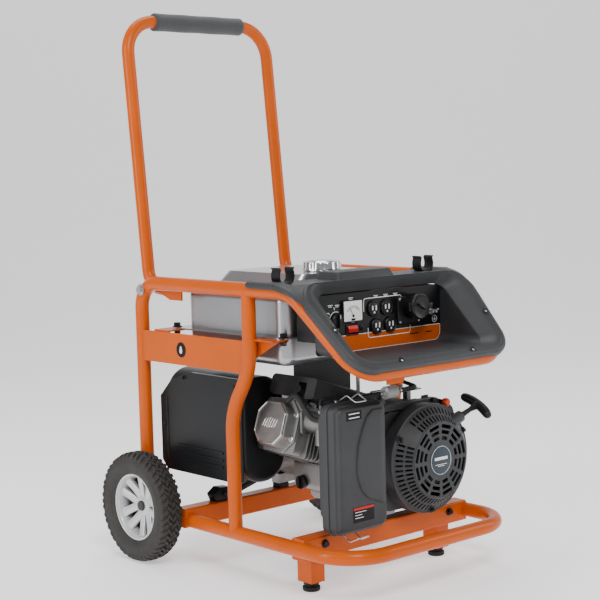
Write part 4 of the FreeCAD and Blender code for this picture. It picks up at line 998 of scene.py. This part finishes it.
def make_meter():
    """Voltmeter: black bezel, white dial with an arc of ticks, and its needle."""
    low, high = box("voltmeter")
    u, v = from_panel("voltmeter")
    half_u, half_v = (high.x - low.x) / 2, (high.z - low.z) / 2
    front = box("panel_plate")[0].y - low.y
    case, dial, marks = Shape(), Shape(), Shape()
    case.plate(rounded_rect(half_u, half_v, 0.003), proud(front - 0.0006, u, v), 0.006, 0.0012, 3)
    dial.plate(rounded_rect(half_u - 0.0018, half_v - 0.0018, 0.002), proud(front + 0.0002, u, v), 0.001,
               0.0003, 1)
    pivot = (u, v - half_v * 0.45)
    for n in range(13):
        angle = math.radians(145 - 110 * n / 12)
        inner, outer = (0.0185, 0.0225) if n % 3 == 0 else (0.0200, 0.0225)
        tick(marks, pivot, angle, inner, outer, front, 0.0006)
    for n in range(12):
        tick_arc(marks, pivot, 145 - 110 * n / 12, 145 - 110 * (n + 1) / 12, 0.0175, front)
    tick(marks, pivot, math.radians(118), 0.0, 0.0195, front, 0.0007)
    hub = shifted(circle(0.0030, 20), *pivot)
    marks.plate(hub, proud(front + 0.0014), 0.001, 0.0004, 2)
    foot = shifted(rounded_rect(0.006, 0.0022, 0.0008, 2), u, v - half_v * 0.78)
    marks.plate(foot, proud(front + 0.0006), 0.0004, 0.0001, 1)
    case.piece("meter_case", "chassis", "meter_face", "black_plastic")
    dial.piece("meter_dial", "chassis", "meter_face", stands_for=("voltmeter",))
    marks.piece("meter_scale", "chassis", "black_plastic", "black_label")


def tick(marks, pivot, angle, inner, outer, front, width):
    way = (math.cos(angle), math.sin(angle))
    spots = []
    for along, across in ((inner, -width), (outer, -width), (outer, width), (inner, width)):
        spots.append((pivot[0] + way[0] * along - way[1] * across,
                      pivot[1] + way[1] * along + way[0] * across))
    marks.plate(spots, proud(front + 0.0006), 0.0004, 0.00005, 1)


def tick_arc(marks, pivot, start, end, radius, front):
    spots = []
    for angle, reach in ((start, radius), (end, radius), (end, radius + 0.0006), (start, radius + 0.0006)):
        turn = math.radians(angle)
        spots.append((pivot[0] + reach * math.cos(turn), pivot[1] + reach * math.sin(turn)))
    marks.plate(spots, proud(front + 0.0006), 0.0004, 0.00005, 1)


def make_switch():
    """Rotary engine switch: fluted skirt, waisted finger bar and a white pointer."""
    low, high = box("engine_switch")
    centre = Vector(((low.x + high.x) / 2, box("panel_plate")[0].y, (low.z + high.z) / 2))
    front = centre.y - low.y
    radius = (high.x - low.x) / 2
    knob = Shape()
    profile = [(0.001, 0.0), (0.001, radius - 0.0008), (0.0018, radius), (0.0052, radius - 0.0006),
               (0.0075, radius - 0.0028), (0.0082, radius - 0.005), (0.0082, 0.0)]
    knob.lathe(profile, centre, -Y_AXIS, 60)
    for angle in full_turn(24):
        spot = centre + way_round((X_AXIS, Z_AXIS), angle) * (radius - 0.0008)
        knob.rod(spot - Y_AXIS * 0.0012, spot - Y_AXIS * 0.0058, 0.0008, 0.0003, 8)
    bar = [(0.0035, -radius + 0.001), (0.0025, -0.002), (0.0027, 0.004), (0.0035, radius - 0.001),
           (-0.0035, radius - 0.001), (-0.0027, 0.004), (-0.0025, -0.002), (-0.0035, -radius + 0.001)]
    outline = rounded_outline(bar, [0.002, 0.001, 0.001, 0.002, 0.002, 0.001, 0.001, 0.002], 3)
    knob.plate(outline, lambda u, v, depth: centre + Vector((u, depth - front, v)), front - 0.0075, 0.0018,
               3)
    knob.piece("switch_knob", "engine_switch", "black_plastic", stands_for=("engine_switch",))
    mark = Shape()
    stripe = shifted(rounded_rect(0.0006, 0.0042, 0.0003, 2), 0.0, radius * 0.58)
    mark.plate(stripe, lambda u, v, depth: centre + Vector((u, depth - front - 0.0002, v)), 0.0004, 0.0001,
               1)
    mark.piece("switch_pointer", "engine_switch", "black_plastic", "white_ink")


def make_rocker_frame():
    """Black frame round the breaker's rocker."""
    u, v = from_panel("breaker_rocker")
    frame_shape = Shape()
    outer, inner = rounded_rect(0.0185, 0.0135, 0.003), rounded_rect(0.0143, 0.0109, 0.0015)
    rings = []
    for outline, out in ((outer, 0.0), (outer, 0.0016), (offset(outer, -0.0008), 0.0024), (inner, 0.0020),
                         (inner, -0.0002)):
        rings.append([panel_place(a + u, b + v, -out) for a, b in outline])
    frame_shape.loft(rings, False, False)
    frame_shape.piece("rocker_frame", "chassis", "black_plastic")
    reset = Shape()
    reset.lathe(mm((0, 0), (0, 6.2), (1.8, 6), (2.6, 5), (2.8, 3.4), (5, 3.2), (5.6, 2.4), (5.6, 0)),
                panel_place(u + 0.0275, v, 0), -Y_AXIS, 32)
    reset.piece("reset_button", "chassis", "black_plastic")


def make_locking_outlet():
    """Twist-lock socket: square mounting plate, ribbed barrel and hinged cap with a finger bar."""
    low = box("locking_outlet")[0]
    plate_y = box("panel_plate")[0].y
    radius = 0.029
    centre = Vector((low.x + 0.040, plate_y, low.z + 0.040))
    socket = Shape()
    outline = shifted(rounded_rect(0.035, 0.031, 0.006), -0.005, -0.009)
    socket.plate(outline, facing_front(centre, plate_y - 0.008), 0.008, 0.002, 3)
    cap = [(0.007, 0.0), (0.007, 0.0265), (0.0285, 0.0265), (0.0290, 0.0278), (0.0305, 0.0278),
           (0.0310, 0.0268), (0.0325, 0.0268), (0.0330, radius - 0.0006), (0.0340, radius),
           (0.0380, radius - 0.0002), (0.0398, radius - 0.0015), (0.0410, radius - 0.0040),
           (0.0400, radius - 0.0055), (0.0398, 0.010), (0.0402, 0.008), (0.0402, 0.0)]
    socket.lathe(cap, centre, -Y_AXIS, 96)
    for angle in full_turn(32):
        spot = centre + way_round((X_AXIS, Z_AXIS), angle) * 0.0266
        socket.rod(spot - Y_AXIS * 0.009, spot - Y_AXIS * 0.028, 0.0010, 0.0004, 8)
    turn = Matrix.Rotation(math.radians(30), 3, "Y")
    half = Vector((0.0115, 0.003, 0.0027))
    grip_mid = Vector((centre.x, low.y + half.y, centre.z))
    socket.block(grip_mid - half, grip_mid + half, 0.0016, turn)
    tongue = centre + Vector((0.0305, -0.0375, 0))
    half = Vector((0.0065, 0.0025, 0.006))
    socket.block(tongue - half, tongue + half, 0.0018)
    hinge = centre + Vector((-0.0285, -0.032, 0.0))
    socket.rod(hinge - Z_AXIS * 0.009, hinge + Z_AXIS * 0.009, 0.0036, 0.0008, 20)
    socket.piece("twist_lock_socket", "chassis", "black_plastic", stands_for=("locking_outlet",))
    screws = Shape()
    for u, v in ((-0.034, -0.034), (-0.034, 0.016), (0.024, -0.034)):
        screws.lathe(mm((0, 0), (0, 3), (0.8, 3), (1.6, 1.8), (1.8, 0)),
                     Vector((centre.x + u, plate_y - 0.008, centre.z + v)), -Y_AXIS, 20)
    screws.piece("socket_screws", "chassis", "zinc_steel")


def make_earth_stud():
    """Earth stud with a wing nut, and a washer against the panel."""
    foot = panel_place(*EARTH_STUD, 0)
    stud = Shape()
    stud.lathe(mm((0, 0), (0, 8.5), (1.2, 8.5), (1.4, 6), (8, 5), (12, 4.2), (12.4, 3), (19.5, 2.9),
                  (20, 2.2), (20, 0)), foot, -Y_AXIS, 32)
    wing = mm((3, 4), (7, 4), (12.5, 9), (13.5, 13.5), (11.5, 15.5), (8.5, 14), (5.5, 10.5), (3, 10))
    lean = math.radians(25)
    for hand in (-1, 1):
        rings = []
        for half in (-0.0013, 0.0013):
            ring = []
            for reach, out in rounded_outline(wing, 0.0006, 2):
                u = hand * reach * math.cos(lean) - half * math.sin(lean)
                v = hand * reach * math.sin(lean) + half * math.cos(lean)
                ring.append(foot + Vector((u, -out, v)))
            rings.append(ring)
        stud.loft(rings)
    stud.piece("earth_wing_nut", "chassis", "zinc_steel", stands_for=("panel_screws",))


make_panel_print()
make_outlets()
make_meter()
make_switch()
make_rocker_frame()
make_locking_outlet()
make_earth_stud()


# ---- air cleaner ----

def make_air_cover():
    """Moulded cover: flange, stepped shoulder, crowned face with a swept facet on its right."""
    low, high = box("air_box_cover")
    centre = middle_of("air_box_cover")
    half_u, half_v = (high.x - low.x) / 2, (high.z - low.z) / 2
    place = facing_front(centre, low.y)
    deep = high.y - low.y
    rings = []
    stations = [(0.0, deep), (0.0, deep - 0.006), (0.0006, deep - 0.0068), (0.0030, deep - 0.0072),
                (0.0034, deep - 0.0080), (0.0034, 0.0175), (0.0040, 0.0160), (0.0058, 0.0150),
                (0.0076, 0.0140), (0.0082, 0.0125), (0.0084, 0.0105)]
    for inset, depth in stations:
        rings.append(placed(place, rounded_rect(half_u - inset, half_v - inset, 0.020 - inset, 8), depth))
    for step in range(6):
        angle = math.pi / 2 * (step + 1) / 6
        inset = 0.0084 + 0.0075 * (1 - math.cos(angle))
        depth = 0.0105 - 0.0060 * math.sin(angle)
        rings.append(placed(place, rounded_rect(half_u - inset, half_v - inset, 0.0165, 8), depth))
    cover = Shape()
    cover.loft(rings, False, True)
    facet = [(half_u - 0.017, half_v - 0.018), (0.026, half_v - 0.018), (0.010, 0.108), (-0.002, 0.083),
             (-0.015, 0.052), (-0.0205, 0.019), (-0.0205, -0.010), (-0.010, -0.044), (0.010, -0.066),
             (half_u - 0.017, -0.084)]
    outline = rounded_outline(facet, [0.004, 0.008, 0.05, 0.05, 0.05, 0.04, 0.03, 0.04, 0.03, 0.004], 6)
    crown = mm((0, 5.6), (0.8, 2.6), (2.8, 1.2), (8, 0.4), (18, 0))
    rings = [[place(u, v, depth) for u, v in shrink(outline, inset)] for inset, depth in crown]
    cover.loft(rings, False, True)
    rim = rounded_rect(half_u - 0.0005, half_v - 0.0005, 0.0195, 8)
    cover.loft([[place(u, v, deep - 0.0001) for u, v in rim]], True, False)
    cover.piece("air_cleaner_cover", "chassis", "grey_plastic", sharp=40.0, stands_for=("air_box_cover",))

    label, stripe, lines = Shape(), Shape(), Shape()
    for mid_u, mid_v, wide, tall in ((-0.025, 0.113, 0.0215, 0.0095), (-0.003, -0.095, 0.0300, 0.0160)):
        flat = shifted(rounded_rect(wide, tall, 0.001, 2), mid_u, mid_v)
        label.plate(flat, lambda u, v, depth: place(u, v, depth + 0.0039), 0.0007, 0.0001, 1)
    flat = shifted(rounded_rect(0.0290, 0.0026, 0.0006, 2), -0.003, -0.0825)
    stripe.plate(flat, lambda u, v, depth: place(u, v, depth + 0.0036), 0.0004, 0.0001, 1)
    for n, wide in enumerate((0.016, 0.010, 0.012)):
        flat = shifted(rounded_rect(wide, 0.0006, 0.0003, 2), -0.028 + wide, -0.0895 - 0.0060 * n)
        lines.plate(flat, lambda u, v, depth: place(u, v, depth + 0.0036), 0.0004, 0.0001, 1)
    for n in (-1, 1):
        flat = shifted(rounded_rect(0.015, 0.0010, 0.0005, 2), -0.025, 0.113 + n * 0.0042)
        lines.plate(flat, lambda u, v, depth: place(u, v, depth + 0.0036), 0.0004, 0.0001, 1)
    label.piece("air_cover_labels", "chassis", "panel_face", "black_label")
    stripe.piece("air_cover_stripe", "chassis", "red_plastic", "red_ink")
    lines.piece("air_cover_label_bars", "chassis", "meter_face", "white_ink")


def shrink(outline, inset):
    """Closed outline drawn in towards its middle, which keeps it clean on a hollow side."""
    if not inset:
        return list(outline)
    mid_u = sum(u for u, v in outline) / len(outline)
    mid_v = sum(v for u, v in outline) / len(outline)
    reach_u = max(abs(u - mid_u) for u, v in outline)
    reach_v = max(abs(v - mid_v) for u, v in outline)
    return [(mid_u + (u - mid_u) * (1 - inset / reach_u), mid_v + (v - mid_v) * (1 - inset / reach_v))
            for u, v in outline]


# ---- recoil starter ----

def make_recoil_badge():
    """Plain badge in the middle of the starter cover, with a thin pale ring."""
    low, high = box("recoil_cover")
    centre = middle_of("recoil_pulley")
    front = Vector((centre.x, low.y, centre.z))
    badge, ring = Shape(), Shape()
    badge.lathe(mm((-0.1, 0), (-0.1, 34.5), (0.4, 34.7), (0.7, 34.1), (0.8, 0)), front, -Y_AXIS, 72)
    badge.piece("starter_badge", "chassis", "grey_plastic", "badge_blue")
    ring.lathe(mm((0.6, 30.5), (0.6, 31.2), (1.1, 31.2), (1.1, 30.5)), front, -Y_AXIS, 96, closed=True)
    ring.lathe([(0.0006, 0.0), (0.0006, 0.0006), (0.0008, 0.0)], front, -Y_AXIS, 12)
    for v, half, thick in ((0.004, 0.020, 0.0032), (-0.009, 0.018, 0.0006), (-0.0125, 0.010, 0.0006)):
        flat = shifted(rounded_rect(half, thick, 0.0005, 2), 0.0, v)
        ring.plate(flat, lambda a, b, depth: front + Vector((a, depth - 0.0011, b)), 0.0004, 0.0001, 1)
    ring.piece("starter_badge_ring", "chassis", "meter_face", "white_ink")
    bead = Shape()
    for radius, along in ((0.0815, -0.0006), (0.0400, -0.0006)):
        profile = [(along - 0.001, radius + 0.0016), (along + 0.0004, radius + 0.0014),
                   (along + 0.0010, radius), (along + 0.0004, radius - 0.0014),
                   (along - 0.001, radius - 0.0016)]
        bead.lathe(profile, front, -Y_AXIS, 96, closed=True)
    back = Vector((centre.x, high.y, centre.z))
    flange = mm((-8.6, 115.5), (-8, 120), (-6.4, 120.8), (-2, 120.8), (-0.4, 120), (-0.2, 115.5))
    bead.lathe(flange, back, Y_AXIS, 120, closed=True)
    bolts = Shape()
    boss_high, boss_ring = 0.014, 0.1125
    for degrees in (150, 268, 386):
        spot = back + way_round((X_AXIS, Z_AXIS), math.radians(degrees)) * boss_ring
        bead.rod(spot - Y_AXIS * boss_high, spot - Y_AXIS * 0.0005, 0.0078, 0.0015, 24)
        hex_bolt(bolts, spot - Y_AXIS * boss_high, -Y_AXIS, 0.0046)
    bead.piece("starter_cover_beads", "chassis", "grey_plastic")
    bolts.piece("starter_cover_bolts", "chassis", "black_steel")


def hex_bolt(shape, spot, way, radius):
    """Flanged hexagon head with a chamfered top."""
    plane = frame_of(way)
    shape.lathe([(0.0, 0.0), (0.0, radius * 1.45), (radius * 0.2, radius * 1.4),
                 (radius * 0.35, radius * 1.1), (radius * 0.35, 0.0)], spot, way, 28)
    rings = []
    for along, size in ((0.3, 1.0), (1.15, 1.0), (1.35, 0.86)):
        rings.append([spot + way * radius * along + way_round(plane, angle) * radius * size
                      for angle in full_turn(6)])
    shape.loft(rings)


def make_starter_grip():
    """T-grip curved to the fingers, on a ribbed neck, with its rope."""
    pulley = middle_of("recoil_pulley")
    lean = math.radians(18.0)
    way = way_round((X_AXIS, Z_AXIS), lean)
    wall = Vector((pulley.x - 0.050 * math.sin(lean), pulley.y, pulley.z + 0.050 * math.cos(lean)))
    bar_way = Vector((0, -0.902, -0.431)).normalized()
    neck_far = 0.169
    grip = Shape()
    points, radii = [], []
    for n in range(25):
        share = -1 + 2 * n / 24
        bow = way * (-0.011 * share * share)
        points.append(wall + way * (neck_far + 0.004) + bar_way * (0.0465 * share) + bow)
        radii.append(0.0102 * math.sqrt(max(0.0, 1 - abs(share) ** 7)) + 0.0006)
    grip.wire(points, radii, 24)
    neck = [(0.119, 0.0), (0.119, 0.0052), (0.121, 0.0062), (0.124, 0.0064), (0.127, 0.0056),
            (0.130, 0.0062), (0.133, 0.0054), (0.136, 0.0060), (0.139, 0.0053), (0.147, 0.0055),
            (0.156, 0.0072), (0.164, 0.0095), (neck_far, 0.010), (neck_far, 0.0)]
    grip.lathe(neck, wall, way, 28)
    grip.piece("pull_grip", "starter_grip", "rubber", "black_plastic", stands_for=("starter_grip",))
    rope = Shape()
    strands, turns, steps = 3, 9, 72
    for strand in range(strands):
        line = []
        for n in range(steps + 1):
            angle = 2 * math.pi * (turns * n / steps + strand / strands)
            across, up = frame_of(way)
            middle = wall + way * (0.071 + 0.049 * n / steps)
            line.append(middle + way_round((across, up), angle) * 0.0011)
        rope.wire(line, 0.0013, 8)
    ends = wall + way * 0.071, wall + way * 0.120
    rope.piece("starter_rope", "chassis", "rubber", "white_ink", between=("starter_grip", *ends))


# ---- valve cover and engine hardware ----

TILT = math.radians(18.5)


def bore_frame():
    """Crankshaft centre at the cylinder, and the cylinder's own axes: outwards, along the crank, upwards."""
    shaft = middle_of("recoil_pulley")
    low, high = box("valve_cover")
    out = Vector((-math.cos(TILT), 0, math.sin(TILT)))
    up = Vector((math.sin(TILT), 0, math.cos(TILT)))
    return Vector((shaft.x, (low.y + high.y) / 2, shaft.z)), out, up


def make_valve_cover():
    """Die-cast cover: chamfered eight-sided dome with a polished rim, ribs in its middle, and its bolts."""
    centre, out, up = bore_frame()

    def place(u, v, depth):
        return centre + Y_AXIS * -u + up * v + out * depth

    def octagon(inset):
        half, cut = 0.059 - inset, 0.029 - inset * 0.5
        corners = [(-half + cut, -half), (half - cut, -half), (half, -half + cut), (half, half - cut),
                   (half - cut, half), (-half + cut, half), (-half, half - cut), (-half, -half + cut)]
        return rounded_outline(corners, 0.006, 4)
    cover, polish = Shape(), Shape()
    rings = []
    for inset, depth in ((0.0, 0.262), (0.0, 0.2672), (0.0008, 0.268), (0.0085, 0.2682), (0.0095, 0.270),
                         (0.0105, 0.288), (0.0120, 0.2915), (0.0150, 0.2938), (0.0158, 0.2938),
                         (0.0166, 0.2925), (0.0172, 0.2925)):
        rings.append(placed(place, octagon(inset), depth))
    cover.loft(rings)
    ring_out, ring_in = 0.0128, 0.0165
    rings = []
    for inset, depth in ((ring_out, 0.2920), (ring_out + 0.0004, 0.2950), (ring_out + 0.0012, 0.2958),
                         (ring_in - 0.0012, 0.2958), (ring_in - 0.0004, 0.2950), (ring_in, 0.2922)):
        rings.append(placed(place, octagon(inset), depth))
    polish.loft(rings, False, False)
    for n in range(6):
        lean = 0.004
        u = -0.019 + 0.0076 * n
        half = 0.012 - 0.0012 * abs(n - 2.5)
        corners = [(u - 0.0016 - lean, -half), (u + 0.0016 - lean, -half), (u + 0.0016 + lean, half),
                   (u - 0.0016 + lean, half)]
        outline = rounded_outline(corners, 0.0012, 3)
        polish.plate(outline, lambda a, b, depth: place(a, b, 0.2948 - depth), 0.003, 0.0008, 2)
    cover.piece("rocker_cover", "chassis", "cast_aluminium", sharp=30.0, stands_for=("valve_cover",))
    polish.piece("rocker_cover_ribs", "chassis", "cast_aluminium", "polished_aluminium", sharp=50.0)
    bolts = Shape()
    for u, v in ((-0.050, -0.026), (0.050, -0.026), (-0.050, 0.026), (0.050, 0.026)):
        hex_bolt(bolts, place(u, v, 0.2682), out, 0.0042)
    bolts.piece("rocker_cover_bolts", "chassis", "zinc_steel")


# ---- filler cap ----

def make_cap():
    """Pressed chrome cap with finger lobes, a raised crown and a vent."""
    low, high = box("fuel_cap")
    centre = middle_of("fuel_cap")
    base = Vector((centre.x, centre.y, low.z))
    radius = (high.x - low.x) / 2
    tall = high.z - low.z
    cap = Shape()
    rings = []
    lobes = 10
    stations = [(0.0, 0.72, 0.0), (0.0, 0.945, 0.2), (0.001, 0.965, 0.4), (0.0045, 0.97, 0.7),
                (0.0075, 0.955, 1.0), (0.0165, 0.955, 1.0), (0.0188, 0.945, 0.9), (0.0202, 0.91, 0.5),
                (0.0206, 0.86, 0.1), (0.0202, 0.80, 0.0), (0.0198, 0.76, 0.0), (0.0204, 0.73, 0.0),
                (tall - 0.0008, 0.69, 0.0), (tall, 0.64, 0.0), (tall - 0.0006, 0.20, 0.0),
                (tall - 0.0003, 0.16, 0.0), (tall - 0.0003, 0.06, 0.0)]
    for height, size, wave in stations:
        ring = []
        for angle in full_turn(160):
            dip = 0.0022 * wave * (0.5 - 0.5 * math.cos(lobes * angle)) ** 2
            reach = radius * size / 0.97 * 0.995 - dip
            ring.append(base + Vector((math.cos(angle), math.sin(angle), 0)) * reach + Z_AXIS * height)
        rings.append(ring)
    cap.loft(rings)
    cap.piece("filler_cap", "fuel_cap", "cap_chrome", sharp=60.0, stands_for=("fuel_cap",))


# ---- badges and covers on the frame ----

def make_side_badges():
    """Round black badges with a blank white middle on the side plates."""
    low, high = box("side_plates")
    tank = middle_of("tank_lower_shell")
    for hand, face in ((-1, low.x), (1, high.x)):
        out = X_AXIS * hand
        spot = Vector((face, tank.y - 0.008 + 0.12, (low.z + high.z) / 2 - 0.0005))
        badge, blank = Shape(), Shape()
        badge.lathe(mm((0, 0), (0, 16.5), (0.6, 17), (1.1, 16.4), (1.2, 0)), spot, out, 48)
        across = Y_AXIS
        drop = []
        for angle in full_turn(20):
            drop.append((0.0042 * math.cos(angle) * (1.0 - 0.35 * math.sin(angle)),
                         0.0088 * math.sin(angle)))
        blank.plate(drop, lambda u, v, depth: spot + across * u + Z_AXIS * v + out * (0.0016 - depth),
                    0.0006, 0.0002, 1)
        label = "left" if hand < 0 else "right"
        badge.piece("side_badge_" + label, "chassis", "panel_face", "black_label")
        blank.piece("side_badge_middle_" + label, "chassis", "meter_face", "white_ink")


def make_choke():
    """Black arm with a round boss at its pivot, and the orange knob at its end."""
    low, high = box("choke_lever")
    knob_at = Vector((high.x - 0.010, low.y, low.z + 0.010))
    pivot = Vector((low.x + 0.006, low.y + 0.016, high.z - 0.006))
    way = Vector((knob_at.x - pivot.x, 0, knob_at.z - pivot.z))
    length = way.length
    way.normalize()
    side = Vector((-way.z, 0, way.x))
    arm, knob = Shape(), Shape()
    outline = rounded_outline([(-0.006, -0.006), (length + 0.005, -0.005), (length + 0.005, 0.005),
                               (-0.006, 0.006)],
                              [0.0059, 0.0049, 0.0049, 0.0059], 8)
    arm.plate(outline, lambda u, v, depth: pivot + way * u + side * v + Y_AXIS * depth, 0.003, 0.0008, 2)
    arm.rod(pivot - Y_AXIS * 0.001, pivot + Y_AXIS * 0.010, 0.0044, 0.0006, 24)
    arm.piece("choke_arm", "choke_lever", "knob_orange", "black_plastic", stands_for=("choke_lever",))
    knob.lathe(mm((0, 0), (0, 6.2), (1.2, 7.8), (3, 9.2), (6, 9.7), (10, 9.6), (13, 8.6), (14.5, 6.6),
                  (15.8, 6), (15.8, 0)), knob_at, Y_AXIS, 40)
    knob.piece("choke_knob", "choke_lever", "knob_orange")


def make_fuel_filter():
    """Clear filter body with ribs, between its two hose ends."""
    low, high = box("fuel_line")
    centre = Vector((high.x - 0.098, low.y + 0.013, low.z + 0.014))
    body = Shape()
    profile = mm((-24, 0), (-24, 5.2), (-18, 5.6), (-16.5, 12.5), (-15, 14.2))
    for n in range(6):
        at = -0.0125 + 0.0050 * n
        profile += [(at - 0.0012, 0.0142), (at - 0.0006, 0.0132), (at + 0.0006, 0.0132),
                    (at + 0.0012, 0.0142)]
    profile += mm((15.5, 14.2), (16.8, 12.5), (18, 5.6), (24, 5.2), (24, 0))
    body.lathe(profile, centre, X_AXIS, 48)
    body.piece("fuel_filter_body", "chassis", "meter_face", "clear_plastic")
    clips = Shape()
    for at in (-0.030, 0.030):
        clips.lathe([(at - 0.002, 0.0044), (at - 0.002, 0.0056), (at + 0.002, 0.0056),
                     (at + 0.002, 0.0044)], centre,
                    X_AXIS, 32, closed=True)
    clips.piece("hose_clips", "chassis", "zinc_steel")


def make_tank_bolts():
    """Black flanged bolts through the tank's seam, with their nuts."""
    low, high = box("tank_brackets")
    seam = box("tank_lower_shell")[1].z
    bolts = Shape()
    for x in (low.x + 0.043, high.x - 0.043):
        for y in (low.y + 0.008, high.y - 0.030):
            spot = Vector((x, y, seam + 0.0015))
            hex_bolt(bolts, spot, Z_AXIS, 0.0078)
            hex_bolt(bolts, spot - Z_AXIS * 0.0062, -Z_AXIS, 0.0074)
    bolts.piece("tank_seam_bolts", "chassis", "black_steel")


def make_head_fins():
    """Cooling fins round the cylinder head, square to the bore."""
    centre, out, up = bore_frame()
    fins = Shape()
    outline = rounded_rect(0.0685, 0.0612, 0.008)
    for n in range(6):
        depth = 0.182 + 0.0105 * n
        fins.plate(outline, lambda u, v, back: centre - Y_AXIS * u + up * v + out * (depth - back), 0.0020,
                   0.0005, 1)
    fins.piece("cylinder_fins", "chassis", "cast_aluminium")


def make_shield_detail():
    """Raised beads down both ends of the heat shield, and its bolts."""
    low, high = box("muffler_shield")
    face = low.x + 0.002
    beads, bolts = Shape(), Shape()
    for y in (low.y + 0.038, high.y - 0.026):
        beads.rod((face, y, low.z + 0.026), (face, y, low.z + 0.170), 0.0026, 0.0012, 16)
    beads.piece("shield_beads", "chassis", "black_steel")
    for y, z in ((high.y - 0.018, low.z + 0.106), (high.y - 0.092, high.z - 0.014),
                 (low.y + 0.020, high.z - 0.020)):
        hex_bolt(bolts, Vector((face, y, z)), -X_AXIS, 0.0044)
    bolts.piece("shield_bolts", "chassis", "black_steel")


def make_rear_stay():
    """Black stay that leans from the rear crossbar up to the alternator."""
    low, high = box("rear_crossbar")
    start = box("muffler")[0].x + 0.044
    middle = (low.y + high.y) / 2
    outline = mm((0, 0), (46, 0), (62, 9), (186, 42), (186, 54), (52, 22), (40, 30), (12, 32), (-8, 18))
    stay = Shape()
    stay.plate(rounded_outline(outline, 0.003, 3),
               lambda u, v, depth: Vector((start + u, middle - 0.013 + depth, high.z + v)),
               0.026, 0.002, 2)
    stay.piece("rear_stay", "chassis", "black_steel")
    bolts = Shape()
    hex_bolt(bolts, Vector((start + 0.024, middle - 0.013, high.z + 0.014)), -Y_AXIS, 0.0060)
    front_low, front_high = box("front_crossbar")
    for hand in (-1, 1):
        spot = Vector((hand * (front_high.x - 0.058), front_low.y,
                       (front_low.z + front_high.z) / 2 + 0.006))
        hex_bolt(bolts, spot, -Y_AXIS, 0.0066)
    bolts.piece("frame_bolts", "chassis", "black_steel")


make_head_fins()
make_shield_detail()
make_rear_stay()
make_air_cover()
make_choke()
make_fuel_filter()
make_tank_bolts()
make_recoil_badge()
make_starter_grip()
make_valve_cover()
make_cap()
make_side_badges()


# ---- finishes of the CAD pieces ----

def node_slots():
    """Slot of each CAD node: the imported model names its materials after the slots."""
    return {name: piece.data.materials[0].name for name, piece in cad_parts.items()}


def finish_nodes():
    for name, slot in node_slots().items():
        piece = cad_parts[name]
        piece.data.materials.clear()
        piece.data.materials.append(finishes[slot])


finish_nodes()


# ---- floor, light and camera ----

def stage_floor():
    """Large pale floor that curves up behind the machine into a wall."""
    span, depth, lift, bend = 9.0, 7.0, 6.0, 3.0
    steps = 24
    profile = [(-span, 0.0), (depth - bend, 0.0)]
    for step in range(1, steps + 1):
        angle = math.pi / 2 * step / steps
        profile.append((depth - bend + bend * math.sin(angle), bend - bend * math.cos(angle)))
    profile.append((depth, lift))
    verts = []
    for along, height in profile:
        verts += [(-span, along, height), (span, along, height)]
    faces = [(2 * n, 2 * n + 1, 2 * n + 3, 2 * n + 2) for n in range(len(profile) - 1)]
    mesh = bpy.data.meshes.new("studio_floor")
    mesh.from_pydata(verts, [], faces)
    for polygon in mesh.polygons:
        polygon.use_smooth = True
    floor = bpy.data.objects.new("studio_floor", mesh)
    floor.location.z = cad_low.z - 0.0005
    turn = math.radians(CAMERA_YAW)
    floor.rotation_euler.z = -turn
    bpy.context.scene.collection.objects.link(floor)
    finish = Finish("studio_paper", Specular_IOR_Level=0.1, Emission_Color=(1.0, 1.0, 1.0, 1.0),
                    Emission_Strength=0.55)
    finish.colour(finish.ramp(finish.noise(2.0), shades(rgb(246, 246, 246), 0.99, 1.0)))
    finish.roughness(finish.noise(30.0), 0.8, 0.95)
    mesh.materials.append(finish.material)


def soft_box(name, place, aim, size, power):
    light = bpy.data.lights.new(name, "AREA")
    light.shape = "RECTANGLE"
    light.size, light.size_y = size
    light.energy = power
    lamp = bpy.data.objects.new(name, light)
    lamp.location = place
    lamp.rotation_euler = (Vector(aim) - Vector(place)).to_track_quat("-Z", "Y").to_euler()
    bpy.context.scene.collection.objects.link(lamp)


def studio_light():
    world = bpy.data.worlds.new("studio")
    bpy.context.scene.world = world
    world.use_nodes = True
    backdrop = world.node_tree.nodes["Background"]
    backdrop.inputs["Color"].default_value = (0.96, 0.98, 1.0, 1.0)
    backdrop.inputs["Strength"].default_value = 0.36
    middle = (0.0, 0.0, 0.5)
    soft_box("key_light", (-1.6, -2.6, 3.2), middle, (1.4, 1.4), 95.0)
    soft_box("fill_light", (2.8, -1.8, 1.7), middle, (1.0, 2.0), 36.0)
    soft_box("side_light", (-3.2, 0.6, 1.6), middle, (0.7, 2.4), 60.0)
    soft_box("top_light", (0.3, 0.9, 3.6), middle, (2.2, 1.4), 55.0)


CAMERA_PLACE = Vector((-2.172, -2.42985, 0.891))
CAMERA_YAW = 41.42
CAMERA_PITCH = 5.21
CAMERA_ROLL = -1.48
CAMERA_LENS = 86.1


def place_camera():
    data = bpy.data.cameras.new("camera")
    data.lens = CAMERA_LENS
    data.sensor_width = 36.0
    camera = bpy.data.objects.new("camera", data)
    bpy.context.scene.collection.objects.link(camera)
    yaw, pitch, roll = (math.radians(angle) for angle in (CAMERA_YAW, CAMERA_PITCH, CAMERA_ROLL))
    ahead = Vector((math.sin(yaw) * math.cos(pitch), math.cos(yaw) * math.cos(pitch), -math.sin(pitch)))
    right = Vector((math.cos(yaw), -math.sin(yaw), 0.0))
    up = right.cross(ahead)
    across = right * math.cos(roll) + up * math.sin(roll)
    above = up * math.cos(roll) - right * math.sin(roll)
    turn = Matrix((across, above, -ahead)).transposed()
    camera.matrix_world = Matrix.Translation(CAMERA_PLACE) @ turn.to_4x4()
    bpy.context.scene.camera = camera


stage_floor()
studio_light()
place_camera()
